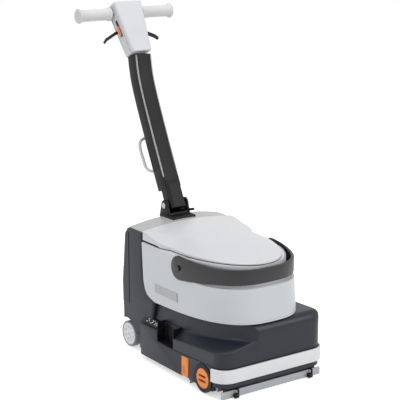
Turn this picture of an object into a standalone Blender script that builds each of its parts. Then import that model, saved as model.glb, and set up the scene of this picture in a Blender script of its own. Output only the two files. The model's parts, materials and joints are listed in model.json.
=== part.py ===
# Compact walk-behind wet and dry floor scrubber.
# Metres, +Z up, floor at z = 0. The front is -Y and the operator stands on the +Y side.
# Sizes below are measured from the rear axle line; the machine empty then moves the whole
# model so that the frame's origin is the centre of its footprint.

import bpy
import bmesh
from math import acos, atan2, cos, degrees, pi, radians, sin
from mathutils import Matrix, Vector

# ---------------------------------------------------------------- fits
GAP = 0.0003            # between pieces that touch
RUN = 0.0015            # around pieces that swing or lift
WALL = 0.004            # moulded shells

# ---------------------------------------------------------------- wheels and axle
WHEEL_RADIUS = 0.045
WHEEL_WIDTH = 0.028
WHEEL_OUTER = 0.180     # outer face from the centre plane
TYRE_THICK = 0.006
AXLE_RADIUS = 0.006
ARCH_CLEARANCE = 0.009

# ---------------------------------------------------------------- lower body
BODY_HALF = 0.205
BODY_FRONT = 0.583
BODY_REAR = 0.120       # rear edge of the side panels
BODY_CORNER = 0.046
SKIRT_BOTTOM = 0.034
DECK_Z = 0.128          # outer edge of the low deck
DECK_CLIMB = 0.021      # how much that edge rises towards the front
DECK_RISE = 0.019       # from the outer edge to the foot of the tank wall
SEAT_REAR_Z = 0.205
SEAT_FRONT_Z = 0.222
HIGH_EDGE_DROP = 0.016  # rounding of the high side's edge
SPLIT_REAR_Z = 0.080    # top edge of the side panels
SPLIT_FRONT_Z = 0.102
PANEL_BOTTOM = 0.014
PANEL_PROUD = 0.002
PANEL_THICK = 0.006
BUMPER_THICK = 0.009
BUMPER_LOW = 0.054
BUMPER_HIGH = 0.098
BUMPER_REACH = 0.536    # where it starts on the sides

# ---------------------------------------------------------------- charging recess, status panel
RECESS_REAR = 0.222
RECESS_FRONT = 0.314
RECESS_FLOOR = 0.0895
RECESS_DEPTH = 0.032
STATUS_REAR = 0.130
STATUS_FRONT = 0.214
STATUS_THICK = 0.0016
SOCKET_RADIUS = 0.012

# ---------------------------------------------------------------- rear housing
TOWER_HALF = 0.185
TOWER_FRONT = 0.098
TOWER_BACK = 0.031      # behind the axle line
TOWER_TOP = 0.430
TOWER_CROWN = 0.455
TOWER_LOW = 0.075
COVER_SPLIT = 0.018     # rear cover begins this far ahead of the axle line
COVER_LOW = 0.159
COVER_HIGH = 0.415
CAP_THICK = 0.003
FRONT_FOOT = 0.170      # the housing's foot reaches this far forward under the tank's rounded corner
FAN_RADIUS = 0.033
FAN_DEPTH = 0.030
FAN_INLET = 0.026
FAN_Y = -0.038
FAN_SHELF_Z = 0.236

# ---------------------------------------------------------------- tanks and lid
TANK_HALF = 0.183
TANK_REAR = 0.102
TANK_NOSE_START = 0.215
TANK_FRONT = 0.540      # at the seam
TANK_BASE_FRONT = 0.572
TANK_POWER = 2.4
RIM_Z = 0.396
TANK_WALL = 0.004
TUB_FLOOR_Z = 0.290
SEAM_Z = 0.400
LID_CROWN = 0.093
LID_WALL = 0.004
LID_HINGE_Z = 0.440
LID_LUG_X = 0.056
LID_LUG_THICK = 0.0049
LID_LUG_HALF = 0.005
LID_PIN_RADIUS = 0.0015
FLOAT_RADIUS = 0.018

# ---------------------------------------------------------------- bail
BAIL_PIVOT_Y = -0.325
BAIL_PIVOT_Z = 0.365
BAIL_END_RADIUS = 0.040
BAIL_THICK = 0.009
BAIL_FRONT_LOW = 0.346
BAIL_FRONT_HIGH = 0.394
BAIL_POWER = 2.8
BAIL_PIN_RADIUS = 0.006
BAIL_FRONT_GAP = 0.0095
BAIL_NOSE_START = 0.225
BAIL_ARM_STEP = -0.470  # where the arm has tapered to the height of the front band
# (-y, half width) inside
BAIL_ROOM = [(0.200, 0.1825), (0.378, 0.1818), (0.392, 0.1785), (0.430, 0.1645)]
                        # the arms, so that they pass the lid's shoulders when the bail stands up

# ---------------------------------------------------------------- brush deck
BRUSH_Y = -0.488
BRUSH_RADIUS = 0.048
BRUSH_RIGHT = -0.188
BRUSH_LEFT = 0.160
TUNNEL_RADIUS = 0.060
SPINDLE_RADIUS = 0.0115
PORT_RADIUS = 0.0465
CAP_RADIUS = 0.0325
PAN_Z = 0.050           # middle of the floor pan's sheet
SHEET = 0.005
MOTOR_Y = -0.385
MOTOR_Z = 0.150
MOTOR_RADIUS = 0.034
MOTOR_LENGTH = 0.100
BRUSH_PULLEY_RADIUS = 0.026
MOTOR_PULLEY_RADIUS = 0.013
PULLEY_X = 0.172
PULLEY_WIDTH = 0.012
BELT_THICK = 0.002
LATCH_REAR = 0.369
LATCH_FRONT = 0.405
LATCH_LOW = 0.020
LATCH_HIGH = 0.087

# ---------------------------------------------------------------- squeegees
BLADE_HALF = 0.197
BLADE_HIGH = 0.024
BLADE_THICK = 0.004
CARRIER_LOW = 0.010
CARRIER_HIGH = 0.033
CARRIER_SHORT = 0.019  # how much shorter than the blade at each end
FRONT_BLADE_Y = -0.572
REAR_BLADE_Y = -0.400
ROLLER_RADIUS = 0.0085
ROLLER_WIDTH = 0.012
ROLLER_X = 0.148

# ---------------------------------------------------------------- column and head
PIVOT_Y = -0.022
PIVOT_RISE = 0.032      # above the housing's crown
EAR_RADIUS = 0.019
EAR_THICK = 0.008
COLUMN_HALF = 0.035
COLUMN_DEPTH = 0.057
COLUMN_CHAMFER = 0.005
COLUMN_WALL = 0.003
COLUMN_BEND = [(0.000, 0.000), (0.022, 0.048), (0.072, 0.143), (0.125, 0.243),
               (0.172, 0.335), (0.205, 0.413), (0.222, 0.493)]   # centre line from the pivot
PIN_RADIUS = 0.006
LOOP_LENGTH = 0.130
LOOP_REACH = 0.024
LOOP_BAR = 0.008
LOOP_DROP = 0.030       # below the column's second bend
LOOP_SLOPE = 0.010
LOOP_HALF = 0.010
HEAD_LEAN = radians(30)
HEAD_LENGTH = 0.190
HEAD_HALF_LOW = 0.039
HEAD_HALF_HIGH = 0.056
HEAD_DEPTH = 0.062
HEAD_SPLIT = -0.012
BAR_ALONG = 0.161
BAR_DEPTH = 0.012
BAR_RADIUS = 0.0125
GRIP_START = 0.062
GRIP_END = 0.190
GRIP_RADIUS = 0.021
FLANGE_RADIUS = 0.026
TRIGGER_ALONG = 0.092
TRIGGER_REACH = 0.062
TRIGGER_EYE = 0.0055
SWITCH_LOW = 0.070
SWITCH_HIGH = 0.130
SWITCH_WIDTH = 0.011

SIDES = 32


# ---------------------------------------------------------------- helpers
def clear_scene():
    for old in list(bpy.data.objects):
        bpy.data.objects.remove(old, do_unlink=True)


def look(name, colour, roughness, metallic=0.0):
    material = bpy.data.materials.new(name)
    material.use_nodes = True
    shader = material.node_tree.nodes["Principled BSDF"]
    shader.inputs["Base Color"].default_value = (*colour, 1.0)
    shader.inputs["Roughness"].default_value = roughness
    shader.inputs["Metallic"].default_value = metallic
    return material


def solid(name, points, faces, material, parent=None):
    mesh = bpy.data.meshes.new(name)
    mesh.from_pydata([tuple(p) for p in points], [], faces)
    work = bmesh.new()
    work.from_mesh(mesh)
    bmesh.ops.recalc_face_normals(work, faces=work.faces)
    work.to_mesh(mesh)
    work.free()
    if material is not None:
        mesh.materials.append(material)
    piece = bpy.data.objects.new(name, mesh)
    bpy.context.collection.objects.link(piece)
    piece.parent = parent or machine
    return piece


def loft(name, rings, material, parent=None):
    """Closed solid through rings of equally many points, capped at both ends."""
    count = len(rings[0])
    points = [p for ring in rings for p in ring]
    faces = [list(range(count)), [len(points) - 1 - i for i in range(count)]]
    for r in range(len(rings) - 1):
        for i in range(count):
            j = (i + 1) % count
            faces.append([r * count + i, r * count + j, (r + 1) * count + j, (r + 1) * count + i])
    return solid(name, points, faces, material, parent)


def on_axis(axis, along, u, v):
    """A point at `along` on the axis, with (u, v) on the two axes that follow it."""
    return {"X": (along, u, v), "Y": (u, along, v), "Z": (u, v, along)}[axis]


def prism(name, outline, axis, low, high, material, parent=None):
    rings = [[on_axis(axis, along, u, v) for u, v in outline] for along in (low, high)]
    return loft(name, rings, material, parent)


def block(name, low, high, material, parent=None):
    outline = [(low[0], low[1]), (high[0], low[1]), (high[0], high[1]), (low[0], high[1])]
    return prism(name, outline, "Z", low[2], high[2], material, parent)


def turned(name, profile, axis, centre, material, parent=None, sides=SIDES, ring=False):
    """Turns (radius, along) points about an axis through centre (u, v).
    A plain profile runs from the axis back to the axis; a ring's profile closes on itself."""
    points = []
    starts = []
    for radius, along in profile:
        starts.append(len(points))
        steps = sides if radius > 1e-7 else 1
        for i in range(steps):
            turn = 2 * pi * i / sides - pi / 2
            u = centre[0] + radius * cos(turn)
            v = centre[1] + radius * sin(turn)
            points.append(on_axis(axis, along, u, v))
    faces = []
    pairs = list(zip(range(len(profile)), range(1, len(profile))))
    if ring:
        pairs.append((len(profile) - 1, 0))
    for a, b in pairs:
        for i in range(sides):
            j = (i + 1) % sides
            lower = [starts[a] + i, starts[a] + j] if profile[a][0] > 1e-7 else [starts[a]]
            upper = [starts[b] + j, starts[b] + i] if profile[b][0] > 1e-7 else [starts[b]]
            if len(lower) + len(upper) > 2:
                faces.append(lower + upper)
    piece = solid(name, points, faces, material, parent)
    piece.data.shade_smooth()
    piece.data.set_sharp_from_angle(angle=radians(35))
    return piece


def rod(name, radius, axis, centre, low, high, material, parent=None, sides=SIDES):
    profile = [(0, low), (radius, low), (radius, high), (0, high)]
    return turned(name, profile, axis, centre, material, parent, sides)


def tube(name, outer, inner, axis, centre, low, high, material, parent=None, sides=SIDES):
    profile = [(outer, low), (outer, high), (inner, high), (inner, low)]
    return turned(name, profile, axis, centre, material, parent, sides, ring=True)


def combine(target, tool, operation):
    tool.hide_render = True
    tool.display_type = "WIRE"
    step = target.modifiers.new(tool.name, "BOOLEAN")
    step.operation = operation
    step.object = tool
    return target


def cut(target, tool):
    return combine(target, tool, "DIFFERENCE")


def join(target, tool):
    return combine(target, tool, "UNION")


def keep(target, tool):
    return combine(target, tool, "INTERSECT")


def pivot_at(piece, point):
    """Moves a piece's origin onto its joint and leaves its shape where it is."""
    place = Vector(point)
    piece.data.transform(Matrix.Translation(-place))
    piece.location = place


def arc(cu, cv, radius, start, end, steps):
    """Points on an arc, angles in degrees."""
    turns = [radians(start + (end - start) * i / steps) for i in range(steps + 1)]
    return [(cu + radius * cos(t), cv + radius * sin(t)) for t in turns]


def nose(half, start, front, rear, power, steps=24):
    """Plan outline with straight sides and an elliptical nose towards -Y."""
    points = [(half, -rear), (-half, -rear)]
    for i in range(steps + 1):
        t = pi * i / steps
        across = abs(cos(t)) ** (2 / power)
        reach = abs(sin(t)) ** (2 / power)
        x = -half * across if t < pi / 2 else half * across
        points.append((x, -start - (front - start) * reach))
    return points


def nose_half(y, half, start, front, power):
    """Half width of such an outline at a given y."""
    reach = (-y - start) / (front - start)
    if reach <= 0:
        return half
    return half * max(0.0, 1 - reach ** power) ** (1 / power)


def round_front(half, front, corner, rear, steps=6):
    """Plan outline of the lower body: square at the rear, two round corners in front."""
    right = arc(-half + corner, -front + corner, corner, 180, 270, steps)
    left = arc(half - corner, -front + corner, corner, 270, 360, steps)
    return [(half, -rear), (-half, -rear)] + right + left


# ---------------------------------------------------------------- shared shapes
def deck_edge(y):
    climb = DECK_CLIMB * (-y - RECESS_FRONT) / (BODY_FRONT - BODY_CORNER - RECESS_FRONT)
    return DECK_Z + max(0.0, climb)


def seat(y):
    share = (-y - TANK_REAR) / (TANK_BASE_FRONT - TANK_REAR)
    return SEAT_REAR_Z + share * (SEAT_FRONT_Z - SEAT_REAR_Z)


def split_line(y):
    share = (-y - BODY_REAR) / (BUMPER_REACH - BODY_REAR)
    return SPLIT_REAR_Z + share * (SPLIT_FRONT_Z - SPLIT_REAR_Z)


def wall_foot(y):
    """Distance from the centre plane to the foot of the tank wall on the low side."""
    return nose_half(y, TANK_HALF - 0.010, TANK_NOSE_START, BODY_FRONT + 0.017, TANK_POWER)


def deck_section(y, inset, low):
    """Cross-section of the lower body: low deck on -X, high shoulder on +X."""
    foot = wall_foot(y) - inset
    top = seat(y) - inset
    edge = deck_edge(y) - inset
    high = BODY_HALF - inset
    return [(-high, y, low), (-high, y, edge), (-foot, y, edge + DECK_RISE),
            (-foot + 0.006, y, top), (high - HIGH_EDGE_DROP, y, top),
            (high - 0.004, y, top - 0.007), (high, y, top - HIGH_EDGE_DROP), (high, y, low)]


def deck_solid(name, inset, low, rear, front, material):
    stations = [rear + (front - rear) * i / 9 for i in range(10)]
    return loft(name, [deck_section(-s, inset, low) for s in stations], material)


CROWN_STATIONS = [(TOWER_HALF - 0.011) * share for share in (-1, -0.65, -0.32, 0, 0.32, 0.65, 1)]


def crown(x):
    return TOWER_TOP + (TOWER_CROWN - TOWER_TOP) * max(0.0, 1 - (x / (TOWER_HALF - 0.015)) ** 2)


def tower_solid(name, inset, low, front_foot, material):
    """Rear housing, lofted from side to side so that its top can be crowned."""
    half = TOWER_HALF - inset
    rings = []
    ends = ((-1.0, 0.010), (-0.985, 0.004), (0.985, 0.004), (1.0, 0.010))
    stations = sorted([(half * share, pull) for share, pull in ends] + [(x, 0.0) for x in CROWN_STATIONS])
    for x, pull in stations:
        top = crown(x) - inset - CAP_THICK - GAP - pull
        back = TOWER_BACK - inset - pull
        front = -TOWER_FRONT + inset
        rings.append([(x, -front_foot, low), (x, -0.058, low), (x, -0.058, max(low, TOWER_LOW)),
                      (x, back - 0.004, max(low + 0.001, TOWER_LOW)), (x, back, 0.234),
                      (x, back - 0.019, 0.405), (x, back - 0.032, top - 0.006), (x, back - 0.040, top),
                      (x, front, top), (x, front, 0.300), (x, -front_foot, 0.235)])
    return loft(name, rings, material)


def tank_profile(gap):
    """Side profile of the tank, (y, z), grown by gap."""
    rear = -TANK_REAR + gap
    base = TANK_BASE_FRONT + 0.020
    return [(rear, RIM_Z), (rear - 0.008, 0.272), (rear - 0.016, 0.243),
            (rear - 0.034, 0.220 - gap * 0.5),
            (rear - 0.062, seat(rear - 0.062) + 0.0008 - gap), (-base, seat(-base) + 0.0008 - gap),
            (-base, RIM_Z)]


def tank_front(z):
    """The tank's front leans back a little from its base to its rim."""
    return TANK_FRONT + (TANK_BASE_FRONT - TANK_FRONT) * (RIM_Z - z) / (RIM_Z - SEAT_REAR_Z)


def tank_solid(name, inset, low, high, material):
    """Upright loft of the tank's plan from its base outline to its seam outline."""
    rings = []
    for z in (low, high):
        outline = nose(TANK_HALF - inset, TANK_NOSE_START, tank_front(z) - inset, TANK_REAR - 0.02,
                       TANK_POWER)
        rings.append([(x, y, z) for x, y in outline])
    return loft(name, rings, material)


# ---------------------------------------------------------------- frame and finishes
clear_scene()

column_top = COLUMN_BEND[-1]
head_y = PIVOT_Y + column_top[0]
head_z = TOWER_CROWN + PIVOT_RISE + column_top[1]
rear_reach = head_y + HEAD_LENGTH * sin(HEAD_LEAN) + HEAD_DEPTH / 2 * cos(HEAD_LEAN)
front_reach = -(BODY_FRONT + BUMPER_THICK)

machine = bpy.data.objects.new("machine", None)
machine.location = (0, -(rear_reach + front_reach) / 2, 0)
bpy.context.collection.objects.link(machine)

charcoal = look("charcoal_abs", (0.045, 0.050, 0.062), 0.42)
panel_grey = look("side_panel_abs", (0.052, 0.056, 0.068), 0.45)
tank_grey = look("tank_polyethylene", (0.60, 0.62, 0.64), 0.38)
lid_grey = look("lid_abs", (0.68, 0.70, 0.71), 0.34)
tub_grey = look("tub_polyethylene", (0.22, 0.23, 0.25), 0.5)
white = look("bumper_tpe", (0.80, 0.81, 0.82), 0.5)
orange = look("orange_abs", (0.86, 0.29, 0.06), 0.4)
black = look("black_nylon", (0.014, 0.014, 0.016), 0.45)
gloss_black = look("status_lens", (0.010, 0.010, 0.012), 0.12)
rubber = look("black_rubber", (0.020, 0.020, 0.020), 0.8)
squeegee_rubber = look("grey_polyurethane", (0.45, 0.47, 0.49), 0.55)
bristle = look("nylon_bristle", (0.08, 0.11, 0.16), 0.85)
steel = look("zinc_steel", (0.55, 0.55, 0.56), 0.32, 1.0)
silver = look("silver_strip", (0.62, 0.61, 0.62), 0.3, 1.0)
wheel_white = look("wheel_nylon", (0.78, 0.79, 0.80), 0.45)
grip_grey = look("grip_tpe", (0.62, 0.63, 0.63), 0.6)
head_grey = look("head_abs", (0.66, 0.67, 0.69), 0.4)
column_black = look("column_powder_coat", (0.016, 0.016, 0.018), 0.5, 0.2)
dark_bail = look("bail_nylon", (0.048, 0.046, 0.050), 0.42)
aluminium = look("cast_aluminium", (0.60, 0.61, 0.62), 0.4, 1.0)
battery_blue = look("battery_case", (0.05, 0.07, 0.12), 0.5)
board_green = look("controller_case", (0.10, 0.11, 0.12), 0.4, 0.5)
hose_clear = look("pvc_hose", (0.35, 0.37, 0.40), 0.4)
foam = look("seal_epdm", (0.018, 0.018, 0.018), 0.9)
float_white = look("float_polypropylene", (0.75, 0.72, 0.60), 0.5)

# ---------------------------------------------------------------- lower body and rear housing
inner_half = BODY_HALF - WALL
well_inner = WHEEL_OUTER - WHEEL_WIDTH - 0.010
arch_radius = WHEEL_RADIUS + ARCH_CLEARANCE
recess_wall = BODY_HALF - RECESS_DEPTH


def panel_outline(side, grow):
    """Side panel in the (y, z) plane. The low side's panel also covers the block behind the recess."""
    rear = -BODY_REAR + grow
    front = -BUMPER_REACH + GAP - grow
    low = PANEL_BOTTOM - grow
    step = -RECESS_REAR - grow
    points = [(rear, low), (front, low + 0.004), (front, split_line(front) + grow)]
    if side < 0:
        points += [(step, split_line(step) + grow), (step, DECK_Z - 0.003 + grow),
                   (rear, DECK_Z - 0.006 + grow)]
    else:
        points += [(rear, split_line(rear) + grow)]
    return points


body = deck_solid("body_shell", 0.0, SKIRT_BOTTOM, BODY_REAR, BODY_FRONT + 0.03, charcoal)
keep(body, prism("body_plan", round_front(BODY_HALF + 0.0001, BODY_FRONT, BODY_CORNER, 0.02), "Z",
                 0.0, 0.30, None))
tower_outer = tower_solid("tower_outer", 0.0, 0.026, FRONT_FOOT, None)
cut(tower_outer, block("foot_relief", (-0.30, -0.30, 0.0), (-wall_foot(-FRONT_FOOT), -STATUS_REAR + 0.002,
                                                            SEAT_REAR_Z - 0.004),
                       None))
join(body, tower_outer)
bay = tank_solid("tank_bay", -RUN, 0.10, 0.60, None)
bay_profile = tank_profile(RUN * 0.5)
bay_profile = [(bay_profile[0][0], 0.70)] + bay_profile + [(bay_profile[-1][0], 0.70)]
keep(bay, prism("tank_bay_profile", bay_profile, "X", -0.3, 0.3, None))
cut(body, bay)

# Hollow inside, kept out of the wheel wells, the recess and the walls around them.
deck_hollow = deck_solid("deck_hollow", WALL, -0.02, BODY_REAR + WALL, BODY_FRONT + 0.03, None)
keep(deck_hollow, prism("hollow_plan", round_front(inner_half, BODY_FRONT - WALL, BODY_CORNER - WALL,
                                                   0.04),
                        "Z", -0.05, 0.30, None))
cut(deck_hollow, block("recess_lining", (-0.30, -RECESS_FRONT - WALL, RECESS_FLOOR - WALL),
                       (-recess_wall + WALL, -RECESS_REAR + WALL, 0.30), None))
cut(body, deck_hollow)
passage_half = wall_foot(-FRONT_FOOT) - WALL - 0.001
cut(body, block("passage", (-passage_half, -FRONT_FOOT - 0.02, -0.03), (passage_half, -TOWER_FRONT + 0.01,
                                                                        SEAT_REAR_Z - 2 * WALL), None))
hollow_foot = BODY_REAR - WALL
tower_hollow = tower_solid("tower_hollow", WALL, -0.02, hollow_foot, None)
for side in (-1, 1):
    lining = rod("well_lining_%d" % side, arch_radius + WALL, "X", (0, WHEEL_RADIUS),
                 side * (well_inner - WALL), side * 0.30, None)
    cut(tower_hollow, lining)
cut(body, tower_hollow)

for side in (-1, 1):
    tag = "right" if side < 0 else "left"
    cut(body, rod("wheel_well_" + tag, arch_radius, "X", (0, WHEEL_RADIUS), side * well_inner,
                  side * 0.30, None))
    cut(body, block("well_mouth_" + tag, (min(side * well_inner, side * 0.30), -arch_radius, -0.02),
                    (max(side * well_inner, side * 0.30), 0.10, WHEEL_RADIUS), None))
    inner = side * (BODY_HALF - PANEL_THICK + PANEL_PROUD - GAP)
    cut(body, prism("panel_seat_" + tag, panel_outline(side, GAP), "X", inner, side * 0.30, None))
cut(body, block("recess", (-0.30, -RECESS_FRONT, RECESS_FLOOR), (-recess_wall, -RECESS_REAR, 0.30), None))
cover_zone = block("cover_zone", (-0.30, -COVER_SPLIT, COVER_LOW), (0.30, 0.20, COVER_HIGH), None)
cut(body, cover_zone)

cover = tower_solid("rear_cover", 0.0, 0.026, FRONT_FOOT, charcoal)
keep(cover, block("cover_limits", (-0.29, -COVER_SPLIT + GAP, COVER_LOW + GAP),
                  (0.29, 0.19, COVER_HIGH - GAP), None))
cut(cover, tower_solid("cover_hollow", WALL, -0.02, hollow_foot, None))

cap_rings = []
for x in CROWN_STATIONS:
    back = TOWER_BACK - 0.042
    cap_rings.append([(x, -TOWER_FRONT + 0.001, crown(x) - CAP_THICK), (x, back, crown(x) - CAP_THICK),
                      (x, back, crown(x)), (x, -TOWER_FRONT + 0.001, crown(x))])
loft("top_cover", cap_rings, tank_grey)

for side, tag in ((-1, "right"), (1, "left")):
    outer = side * (BODY_HALF + PANEL_PROUD)
    inner = side * (BODY_HALF + PANEL_PROUD - PANEL_THICK)
    panel = prism("side_panel_" + tag, panel_outline(side, 0.0), "X", inner, outer, panel_grey)
    if side < 0:
        cut(panel, rod("port_hole", PORT_RADIUS + GAP, "X", (BRUSH_Y, BRUSH_RADIUS), -0.25, -0.15, None))
        cut(panel, block("latch_window", (-0.25, -LATCH_FRONT - 0.0008, -0.02),
                         (-0.15, -LATCH_REAR + 0.0008, LATCH_HIGH + 0.003), None))

outer_line = round_front(BODY_HALF + BUMPER_THICK, BODY_FRONT + BUMPER_THICK, BODY_CORNER + BUMPER_THICK,
                         BUMPER_REACH)
inner_line = round_front(BODY_HALF + GAP, BODY_FRONT + GAP, BODY_CORNER + GAP, BUMPER_REACH)
bumper_line = outer_line[1:] + [outer_line[0], inner_line[0]] + inner_line[:0:-1]
prism("bumper_strip", bumper_line, "Z", BUMPER_LOW, BUMPER_HIGH, white)

# ---------------------------------------------------------------- status panel and charging socket
edge_point = Vector((-BODY_HALF, deck_edge(-STATUS_REAR)))
foot_point = Vector((-wall_foot(-STATUS_REAR), deck_edge(-STATUS_REAR) + DECK_RISE))
slope = (foot_point - edge_point).normalized()
lift = Vector((-slope.y, slope.x))
near = edge_point + slope * 0.003
far = foot_point - slope * 0.003
lens = [near + lift * GAP, far + lift * GAP, far + lift * (GAP + STATUS_THICK),
        near + lift * (GAP + STATUS_THICK)]
prism("status_panel", [tuple(p) for p in lens], "Y", -STATUS_FRONT, -STATUS_REAR, gloss_black)

socket_y = -(RECESS_REAR + RECESS_FRONT) / 2
socket_face = -recess_wall - GAP
turned("charging_socket", [(0, socket_face), (SOCKET_RADIUS, socket_face),
                           (SOCKET_RADIUS, socket_face - 0.005),
                           (SOCKET_RADIUS - 0.003, socket_face - 0.005),
                           (SOCKET_RADIUS - 0.003, socket_face - 0.0015),
                           (0, socket_face - 0.0015)], "X", (socket_y,
                                                             RECESS_FLOOR + SOCKET_RADIUS + 0.006), black,
       sides=20)

# ---------------------------------------------------------------- chassis
chassis_half = inner_half - GAP
rear_half = well_inner - WALL - 0.004
tunnel_outer = TUNNEL_RADIUS + SHEET
tunnel_foot = 0.022
arch_line = [(BRUSH_Y + TUNNEL_RADIUS, tunnel_foot)] + arc(BRUSH_Y, BRUSH_RADIUS, TUNNEL_RADIUS, 0, 180,
                                                           14)
arch_line += [(BRUSH_Y - TUNNEL_RADIUS, tunnel_foot), (BRUSH_Y - tunnel_outer, tunnel_foot)]
arch_line += arc(BRUSH_Y, BRUSH_RADIUS, tunnel_outer, 180, 0, 14) + [(BRUSH_Y + tunnel_outer,
                                                                      tunnel_foot)]
chassis = prism("chassis_base", arch_line, "X", -chassis_half, chassis_half, aluminium)
pan_rear = -BODY_REAR - 0.004
join(chassis, block("floor_pan", (-chassis_half, BRUSH_Y + tunnel_outer - 0.002, PAN_Z - SHEET / 2),
                    (chassis_half, pan_rear, PAN_Z + SHEET / 2), None))
axle_frame_z = WHEEL_RADIUS + AXLE_RADIUS + 0.012
join(chassis, block("rear_riser", (-rear_half, pan_rear - 0.006, PAN_Z), (rear_half, pan_rear - 0.0001,
                                                                          axle_frame_z + SHEET), None))
join(chassis, block("axle_plate", (-rear_half, pan_rear - 0.003, axle_frame_z),
                    (rear_half, 0.018, axle_frame_z + SHEET),
                    None))
for side in (-1, 1):
    bearer_low = min(side * 0.100, side * 0.112)
    bearer_high = max(side * 0.100, side * 0.112)
    join(chassis, block("axle_bearer_%d" % side, (bearer_low, -0.014, WHEEL_RADIUS - 0.014),
                        (bearer_high, 0.014, axle_frame_z + 0.001), None))
    web_low = min(side * 0.060, side * 0.066)
    web_high = max(side * 0.060, side * 0.066)
    join(chassis, block("fan_web_%d" % side, (web_low, -0.082, axle_frame_z + SHEET - 0.001),
                        (web_high, 0.006, FAN_SHELF_Z + SHEET - 0.001), None))
join(chassis, block("fan_shelf", (-0.066, FAN_Y - 0.045, FAN_SHELF_Z),
                    (0.066, FAN_Y + 0.045, FAN_SHELF_Z + SHEET),
                    None))
cut(chassis, rod("axle_bore", AXLE_RADIUS + GAP, "X", (0, WHEEL_RADIUS), -0.2, 0.2, None, sides=16))
cut(chassis, rod("fan_inlet", FAN_INLET, "Z", (0, FAN_Y), FAN_SHELF_Z - 0.02, FAN_SHELF_Z + 0.02, None,
                 sides=20))
cradle_x = 0.060
cradle_top = MOTOR_Z - 0.012
join(chassis, block("motor_cradle", (cradle_x + 0.008, MOTOR_Y - 0.024, PAN_Z),
                    (cradle_x + MOTOR_LENGTH - 0.008,
                                                                               MOTOR_Y + 0.024,
                                                                               cradle_top), None))
cut(chassis, rod("motor_bed", MOTOR_RADIUS + GAP, "X", (MOTOR_Y, MOTOR_Z), 0.0, 0.195, None, sides=SIDES))
keep(chassis, prism("chassis_plan", round_front(chassis_half, BODY_FRONT - WALL - GAP, BODY_CORNER - WALL,
                                                -0.1), "Z",
                    -0.1, 0.4, None))

# ---------------------------------------------------------------- axle and wheels
rod("rear_axle", AXLE_RADIUS, "X", (0, WHEEL_RADIUS), -WHEEL_OUTER - 0.0005, WHEEL_OUTER + 0.0005, steel,
    sides=16)
hub_radius = WHEEL_RADIUS - TYRE_THICK
for side, tag in ((-1, "right"), (1, "left")):
    outer = side * WHEEL_OUTER
    inner = side * (WHEEL_OUTER - WHEEL_WIDTH)
    dish = side * (WHEEL_OUTER - 0.006)
    bore = AXLE_RADIUS + GAP
    rim = hub_radius - GAP
    hub = turned("wheel_hub_" + tag, [(bore, inner), (rim, inner), (rim, outer), (rim - 0.005, outer),
                                      (rim - 0.007, dish), (0.014, dish), (0.012, outer), (bore, outer)],
                 "X", (0, WHEEL_RADIUS), wheel_white, ring=True)
    pivot_at(hub, (0, 0, WHEEL_RADIUS))
    edge = side * 0.002
    tyre = turned("wheel_tyre_" + tag, [(hub_radius, inner + edge), (WHEEL_RADIUS - 0.002, inner + edge),
                                        (WHEEL_RADIUS, inner + 2 * edge),
                                        (WHEEL_RADIUS, outer - 2 * edge),
                                        (WHEEL_RADIUS - 0.002, outer - edge), (hub_radius, outer - edge)],
                  "X", (0, WHEEL_RADIUS), rubber, ring=True)
    pivot_at(tyre, (0, 0, WHEEL_RADIUS))

# ---------------------------------------------------------------- battery, controller, suction motor
pan_top = PAN_Z + SHEET / 2
battery_outline = [(-0.118, -0.345), (0.118, -0.345), (0.124, -0.339), (0.124, -0.146), (0.118, -0.140),
                   (-0.118, -0.140), (-0.124, -0.146), (-0.124, -0.339)]
battery = prism("battery_pack", battery_outline, "Z", pan_top + GAP, pan_top + 0.100, battery_blue)
join(battery, block("battery_handle_base", (-0.045, -0.262, pan_top + 0.095),
                    (0.045, -0.232, pan_top + 0.112), None))
plate_top = axle_frame_z + SHEET
controller = block("controller_box", (-0.052, -0.076, plate_top + GAP), (0.052, 0.000, plate_top + 0.026),
                   board_green)
for i in range(6):
    fin_x = -0.045 + i * 0.018
    cut(controller, block("fin_slot_%d" % i, (fin_x - 0.004, -0.09, plate_top + 0.018),
                          (fin_x + 0.004, 0.02,
                                                                                      plate_top + 0.04),
                                                                                      None))
fan_base = FAN_SHELF_Z + SHEET + GAP
fan_ceiling = fan_base + FAN_DEPTH
turned("suction_motor", [(0, fan_ceiling), (0.040, fan_ceiling), (0.040, fan_base), (0.044, fan_base),
                         (0.044, fan_base + 0.034), (0.034, fan_base + 0.042), (0.034, fan_base + 0.088),
                         (0.010, fan_base + 0.094), (0, fan_base + 0.094)], "Z", (0, FAN_Y), black,
                         sides=28)
fan = turned("suction_fan", [(0, fan_base + 0.006), (FAN_RADIUS, fan_base + 0.006),
                             (FAN_RADIUS, fan_base + 0.010),
                             (0.016, fan_base + 0.022), (0.006, fan_ceiling - GAP),
                             (0, fan_ceiling - GAP)],
             "Z", (0, FAN_Y), float_white, sides=24)
pivot_at(fan, (0, FAN_Y, fan_base))

# ---------------------------------------------------------------- brush drive
motor_low = cradle_x
motor_high = cradle_x + MOTOR_LENGTH
turned("brush_motor", [(0, motor_low), (MOTOR_RADIUS - 0.004, motor_low),
                       (MOTOR_RADIUS, motor_low + 0.004),
                       (MOTOR_RADIUS, motor_high - 0.004), (MOTOR_RADIUS - 0.004, motor_high),
                       (0.012, motor_high),
                       (0.012, motor_high + 0.006), (0.004, motor_high + 0.006),
                       (0.004, PULLEY_X + PULLEY_WIDTH + 0.003), (0, PULLEY_X + PULLEY_WIDTH + 0.003)],
       "X", (MOTOR_Y, MOTOR_Z), black, sides=28)


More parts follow.
